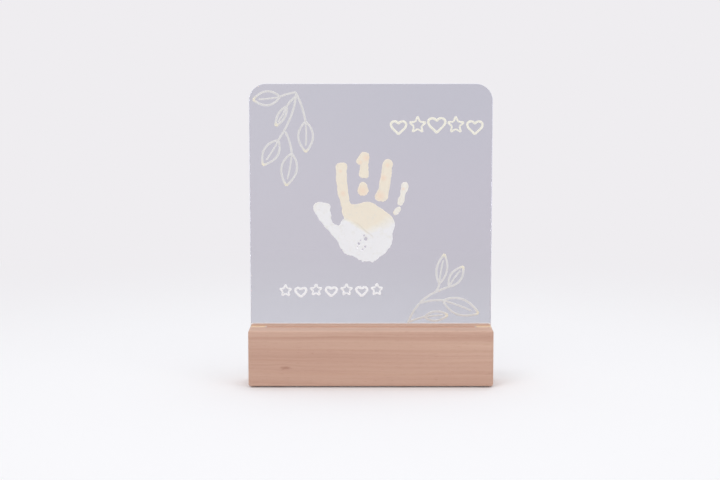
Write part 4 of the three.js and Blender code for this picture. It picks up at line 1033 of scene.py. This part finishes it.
def leaf_strokes(base, tip, width):
    """Two sides and a midrib. The sides meet at the tip, where the pen stops."""
    dx, dz = tip[0] - base[0], tip[1] - base[1]
    spread = width / math.hypot(dx, dz)
    middle = (base[0] + LEAF_BELLY * dx, base[1] + LEAF_BELLY * dz)

    def off(share):
        return (middle[0] - share * dz, middle[1] + share * dx)

    rib_end = (base[0] + RIB_REACH * dx, base[1] + RIB_REACH * dz)
    return [
        (curve(base, off(spread), tip), 1.0, True), (curve(base, off(-spread), tip), 1.0, True),
        (curve(base, off(RIB_BEND), rib_end), RIB_WEIGHT, False),
    ]


def sprig_strokes(sprig):
    """The sprig's stems and leaves in millimetres on the panel."""
    strokes = [(curve(*stem), 1.0, False) for stem in sprig["stems"]]
    length = sprig["length"]
    for base, tip, width in sprig["leaves"]:
        strokes += leaf_strokes(base, tip, width - PEN_WIDTH / length)
    origin_x, origin_z = sprig["origin"]
    return [
        ([(origin_x + length * px, origin_z + length * pz) for px, pz in line], weight, dab)
        for line, weight, dab in strokes
    ]


def heart_strokes(x, z, size):
    """Two halves of a heart, each from its notch to its point."""
    halves = []
    for side in (1, -1):
        line = []
        for i in range(HEART_STEPS + 1):
            turn = i / HEART_STEPS * math.pi
            across = side * HEART_HALF_WIDTH * math.sin(turn) ** 3
            up = sum(height * math.cos(times * turn) for times, height in enumerate(HEART_WAVES, 1))
            line.append((x + size * across, z + size * up))
        halves.append((line, MARK_WEIGHT, False))
    return halves


def star_strokes(x, z, size):
    corners = []
    for i in range(2 * STAR_POINTS + 1):
        radius = size * STAR_RADII[i % 2]
        turn = math.pi / STAR_POINTS * i
        corners.append((x + radius * math.sin(turn), z + radius * math.cos(turn)))
    return [([a, b], MARK_WEIGHT, False) for a, b in zip(corners, corners[1:])]


MARK_KINDS = {"heart": heart_strokes, "star": star_strokes}


# Pen lines, in millimetres. Strokes start in several layers, so that crossing ones share no plane.

PEN_WIDTH = 1.75
PEN_RISE = 0.24
PEN_LAYERS = 6
PEN_LAYER = 0.0000025
PEN_PROFILE = [(-1.0, 0.0), (-0.72, 0.62), (0.0, 1.0), (0.72, 0.62), (1.0, 0.0)]

# Where rings lie in a line's round end, in shares of its half width, and their least size
CAP_RINGS = (0.06, 0.35)
CAP_LEAST = 0.02
SAME_PLACE = 1e-9
AT_CORNER = 0.01

# Unsteadiness of the line. Each noise has its wave's length, its step between strokes and its layer.
WIDTH_SWING = 0.14
WIDTH_NOISE = (3.0, 3.1, 0.4)
LINE_WANDER = 0.16
WANDER_NOISE = (7.0, 1.7, 2.2)

# The dab where the pen stops is wider and higher than the line
DAB_LENGTH = 2.2
DAB_SPREAD = 0.35
DAB_RISE = 0.5
LINE_RISE = 0.85


def lengths_along(line):
    """How far along the line each of its points is."""
    run = [0.0]
    for a, b in zip(line, line[1:]):
        run.append(run[-1] + (b - a).length)
    return run


def point_along(line, run, mark):
    """The point at a distance along a line, and the direction across it."""
    k = min(max(i for i, s in enumerate(run) if s <= mark + SAME_PLACE), len(line) - 2)
    share = (mark - run[k]) / (run[k + 1] - run[k])
    before = line[k - 1] if k and share < AT_CORNER else line[k]
    ahead = (line[k + 1] - before).normalized()
    return line[k].lerp(line[k + 1], share), Vector((-ahead.y, ahead.x))


def unsteadiness(mark, number, wave, step, layer):
    return noise.noise(Vector((mark / wave, number * step, layer)))


def stroke_rings(number, stroke):
    """Rings of points round a stroke, each with its share of the dab."""
    line, weight, ends_in_dab = stroke
    line = [Vector(p) for p in line]
    run = lengths_along(line)
    total = run[-1]
    half = PEN_WIDTH * weight / 2
    plane = PANEL_FACE - PAINT_GAP + PEN_LAYER * (number % PEN_LAYERS)
    ends = [share * half for share in CAP_RINGS] + [total - share * half for share in CAP_RINGS]
    for mark in sorted(set(run + [s for s in ends if 0 < s < total])):
        here, side = point_along(line, run, mark)
        from_end = min(mark, total - mark)
        cap = math.sqrt(max(CAP_LEAST, 1 - max(0.0, 1 - from_end / half) ** 2))
        dab = math.exp(-(((total - mark) / DAB_LENGTH) ** 2)) if ends_in_dab else 0.0
        width = 1 + WIDTH_SWING * unsteadiness(mark, number, *WIDTH_NOISE)
        spread = half * cap * (width + DAB_SPREAD * dab)
        rise = PEN_RISE * cap * (LINE_RISE + DAB_RISE * dab)
        wander = LINE_WANDER * unsteadiness(mark, number, *WANDER_NOISE)
        ring = []
        for u, v in PEN_PROFILE:
            offset = u * spread + wander
            x, z = here.x + side.x * offset, here.y + side.y * offset
            ring.append((x * MM, plane - v * rise * MM, BASE_TOP + z * MM))
        yield ring, dab


def pen_mesh(name, strokes, finish):
    """Low domed lines of paint on the panel, with round ends."""
    points, faces, dwell = [], [], []
    for number, stroke in enumerate(strokes):
        rings, dabs = zip(*stroke_rings(number, stroke))
        bar(points, faces, rings)
        dwell += [dab for dab in dabs for _ in PEN_PROFILE]
    return mesh_object(name, points, faces, finish, "panel", {"dwell": dwell})


def drawings(finishes):
    """Both sprigs, in place of their CAD nodes, and both rows of marks."""
    cream = finishes["pen_cream"]
    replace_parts(pen_mesh("sprig_upper_line", sprig_strokes(UPPER_SPRIG), cream), "sprig_upper")
    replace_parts(pen_mesh("sprig_lower_line", sprig_strokes(LOWER_SPRIG), cream), "sprig_lower")
    rows = (("upper_marks", UPPER_MARKS, "pen_warm"), ("lower_marks", LOWER_MARKS, "pen_chalk"))
    for name, marks, pen in rows:
        strokes = []
        for kind, x, z, size in marks:
            strokes += MARK_KINDS[kind](x, z, size)
        pen_mesh(name, strokes, finishes[pen])


# Small fittings: the socket's contacts, low parts on the boards, and the sign on the button

BOX_FACES = ((0, 1, 3, 2), (4, 6, 7, 5), (0, 4, 5, 1), (2, 3, 7, 6), (0, 2, 6, 4), (1, 5, 7, 3))
CONTACT_COUNT = 12
CONTACT_PITCH = 0.0005
CONTACT_WIDTH = 0.00026
CONTACT_HEIGHT = 0.00008
CONTACT_LENGTH = 0.0038
CONTACT_BACK = 0.0004

# Low parts of the boards, (x, y, length, width, height), in millimetres
CHIPS = [(-1.6, 12.6, 4.0, 4.0, 0.9), (2.2, 14.4, 2.9, 1.6, 1.0), (7.0, 9.4, 3.0, 3.0, 1.2)]
CAPACITORS = [
    (-2.6, 8.6, 1.6, 0.8, 0.6), (0.2, 8.6, 1.6, 0.8, 0.6), (2.4, 11.2, 0.8, 1.6, 0.6),
    (2.4, 8.6, 1.6, 0.8, 0.6), (10.4, 9.6, 0.8, 1.6, 0.6),
]
RESISTOR = (1.6, 0.8, 0.45)
RESISTOR_Y = 2.6

# The sign: a ring, open SIGN_GAP degrees to each side of the top, and a bar with its two ends
SIGN_RADIUS = 0.00145
SIGN_LINE = 0.00034
SIGN_GAP = 38
SIGN_BAR = (0.0004, 0.0021)
SIGN_PROUD = 0.00003
SIGN_SUNK = 0.00012
SIGN_STEPS = 40


def about(middle, width):
    return middle - width / 2, middle + width / 2


def block(points, faces, across, deep, up):
    """Adds a box to a mesh, from its two ends along each axis."""
    first = len(points)
    points += [(x, y, z) for x in across for y in deep for z in up]
    faces += [[first + corner for corner in face] for face in BOX_FACES]


def socket_contacts(nickel):
    low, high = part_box("usb_tongue")
    mouth = high.y - CONTACT_BACK
    deep = (mouth - CONTACT_LENGTH, mouth)
    points, faces = [], []
    for i in range(CONTACT_COUNT):
        x = middle_of("usb_tongue")[0] + (i - (CONTACT_COUNT - 1) / 2) * CONTACT_PITCH
        for z in (high.z, low.z):
            block(points, faces, about(x, CONTACT_WIDTH), deep, about(z, CONTACT_HEIGHT))
    mesh_object("socket_contacts", points, faces, nickel, "base", smooth=False)


def low_parts(name, rows, top, finish):
    points, faces = [], []
    for x, y, length, width, rise in rows:
        across, deep = [[v * MM for v in about(*side)] for side in ((x, length), (y, width))]
        block(points, faces, across, deep, (top, top + rise * MM))
    mesh_object(name, points, faces, finish, "base", smooth=False)


def board_parts(black, tan):
    control_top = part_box("control_board")[1].z
    low_parts("control_chips", CHIPS, control_top, black)
    low_parts("control_capacitors", CAPACITORS, control_top, tan)
    lights = sorted(name for name in nodes if name.startswith("led_") and name != "led_board")
    middles = [middle_of(name)[0] / MM for name in lights]
    rows = [((a + b) / 2, RESISTOR_Y, *RESISTOR) for a, b in zip(middles, middles[1:])]
    low_parts("lamp_resistors", rows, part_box("led_board")[1].z, black)


def power_sign(finish):
    middle_x, _, middle_z = middle_of("power_button")
    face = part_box("power_button")[1].y
    back, front = face - SIGN_SUNK, face + SIGN_PROUD
    inner, outer = about(SIGN_RADIUS, SIGN_LINE)
    section = [(outer, back), (outer, front), (inner, front), (inner, back)]
    points, faces, rings = [], [], []
    for i in range(SIGN_STEPS + 1):
        turn = math.radians(SIGN_GAP + (360 - 2 * SIGN_GAP) * i / SIGN_STEPS)
        across, up = math.sin(turn), math.cos(turn)
        rings.append([(middle_x + radius * across, y, middle_z + radius * up) for radius, y in section])
    bar(points, faces, rings)
    block(points, faces, about(middle_x, SIGN_LINE), (back, front), [middle_z + end for end in SIGN_BAR])
    mesh_object("power_sign", points, faces, finish, "power_button", smooth=False)


# Finishes of the CAD nodes: the first of these words in a node's name tells. Each cell has its own sleeve.

FINISH_WORDS = {
    "wood_base": "oiled_beech", "acrylic_panel": "tinted_acrylic", "print": "hand_paint",
    "sprig": "pen_cream", "light_channel": "white_plastic", "bottom_cover": "white_plastic",
    "battery_lid": "white_plastic", "rear_bezel": "grey_plastic", "power_button": "button_plastic",
    "switch_body": "black_plastic", "usb_tongue": "black_plastic", "led_board": "light_board",
    "control_board": "control_board", "usb_shell": "nickel", "plate": "nickel", "screw": "nickel",
    "spring": "spring_wire", "_red": "red_lead", "_black": "black_lead", "led_": "lamp", "foot_": "silicone",
}


def all_finishes():
    made = {
        "oiled_beech": wood_material(), "tinted_acrylic": acrylic_material(), "hand_paint": paint_material(),
        "lamp": lamp_material(),
    }
    for name in nodes:
        if name.startswith("cell_"):
            made[name] = sleeve_material(name)
    makers = {
        pen_material: PENS, plastic_material: PLASTICS, textured_material: TEXTURED, board_material: BOARDS,
    }
    for maker, looks in makers.items():
        for name, look in looks.items():
            made[name] = maker(name, **look)
    return made


def finish_name(node):
    return next((finish for word, finish in FINISH_WORDS.items() if word in node), node)


def dress_nodes(finishes):
    for name, node in nodes.items():
        finish = finishes[finish_name(name)]
        if not node.material_slots:
            node.data.materials.append(finish)
        for slot in node.material_slots:
            slot.material = finish


camera()
floor()
world()
lamps()

finishes = all_finishes()
dress_nodes(finishes)
for node in PATCHES:
    paint_patch(node, finishes["hand_paint"])
drawings(finishes)
socket_contacts(finishes["nickel"])
board_parts(finishes["chip_black"], finishes["chip_tan"])
power_sign(finishes["sign_print"])

bpy.context.scene.view_settings.view_transform = "Standard"
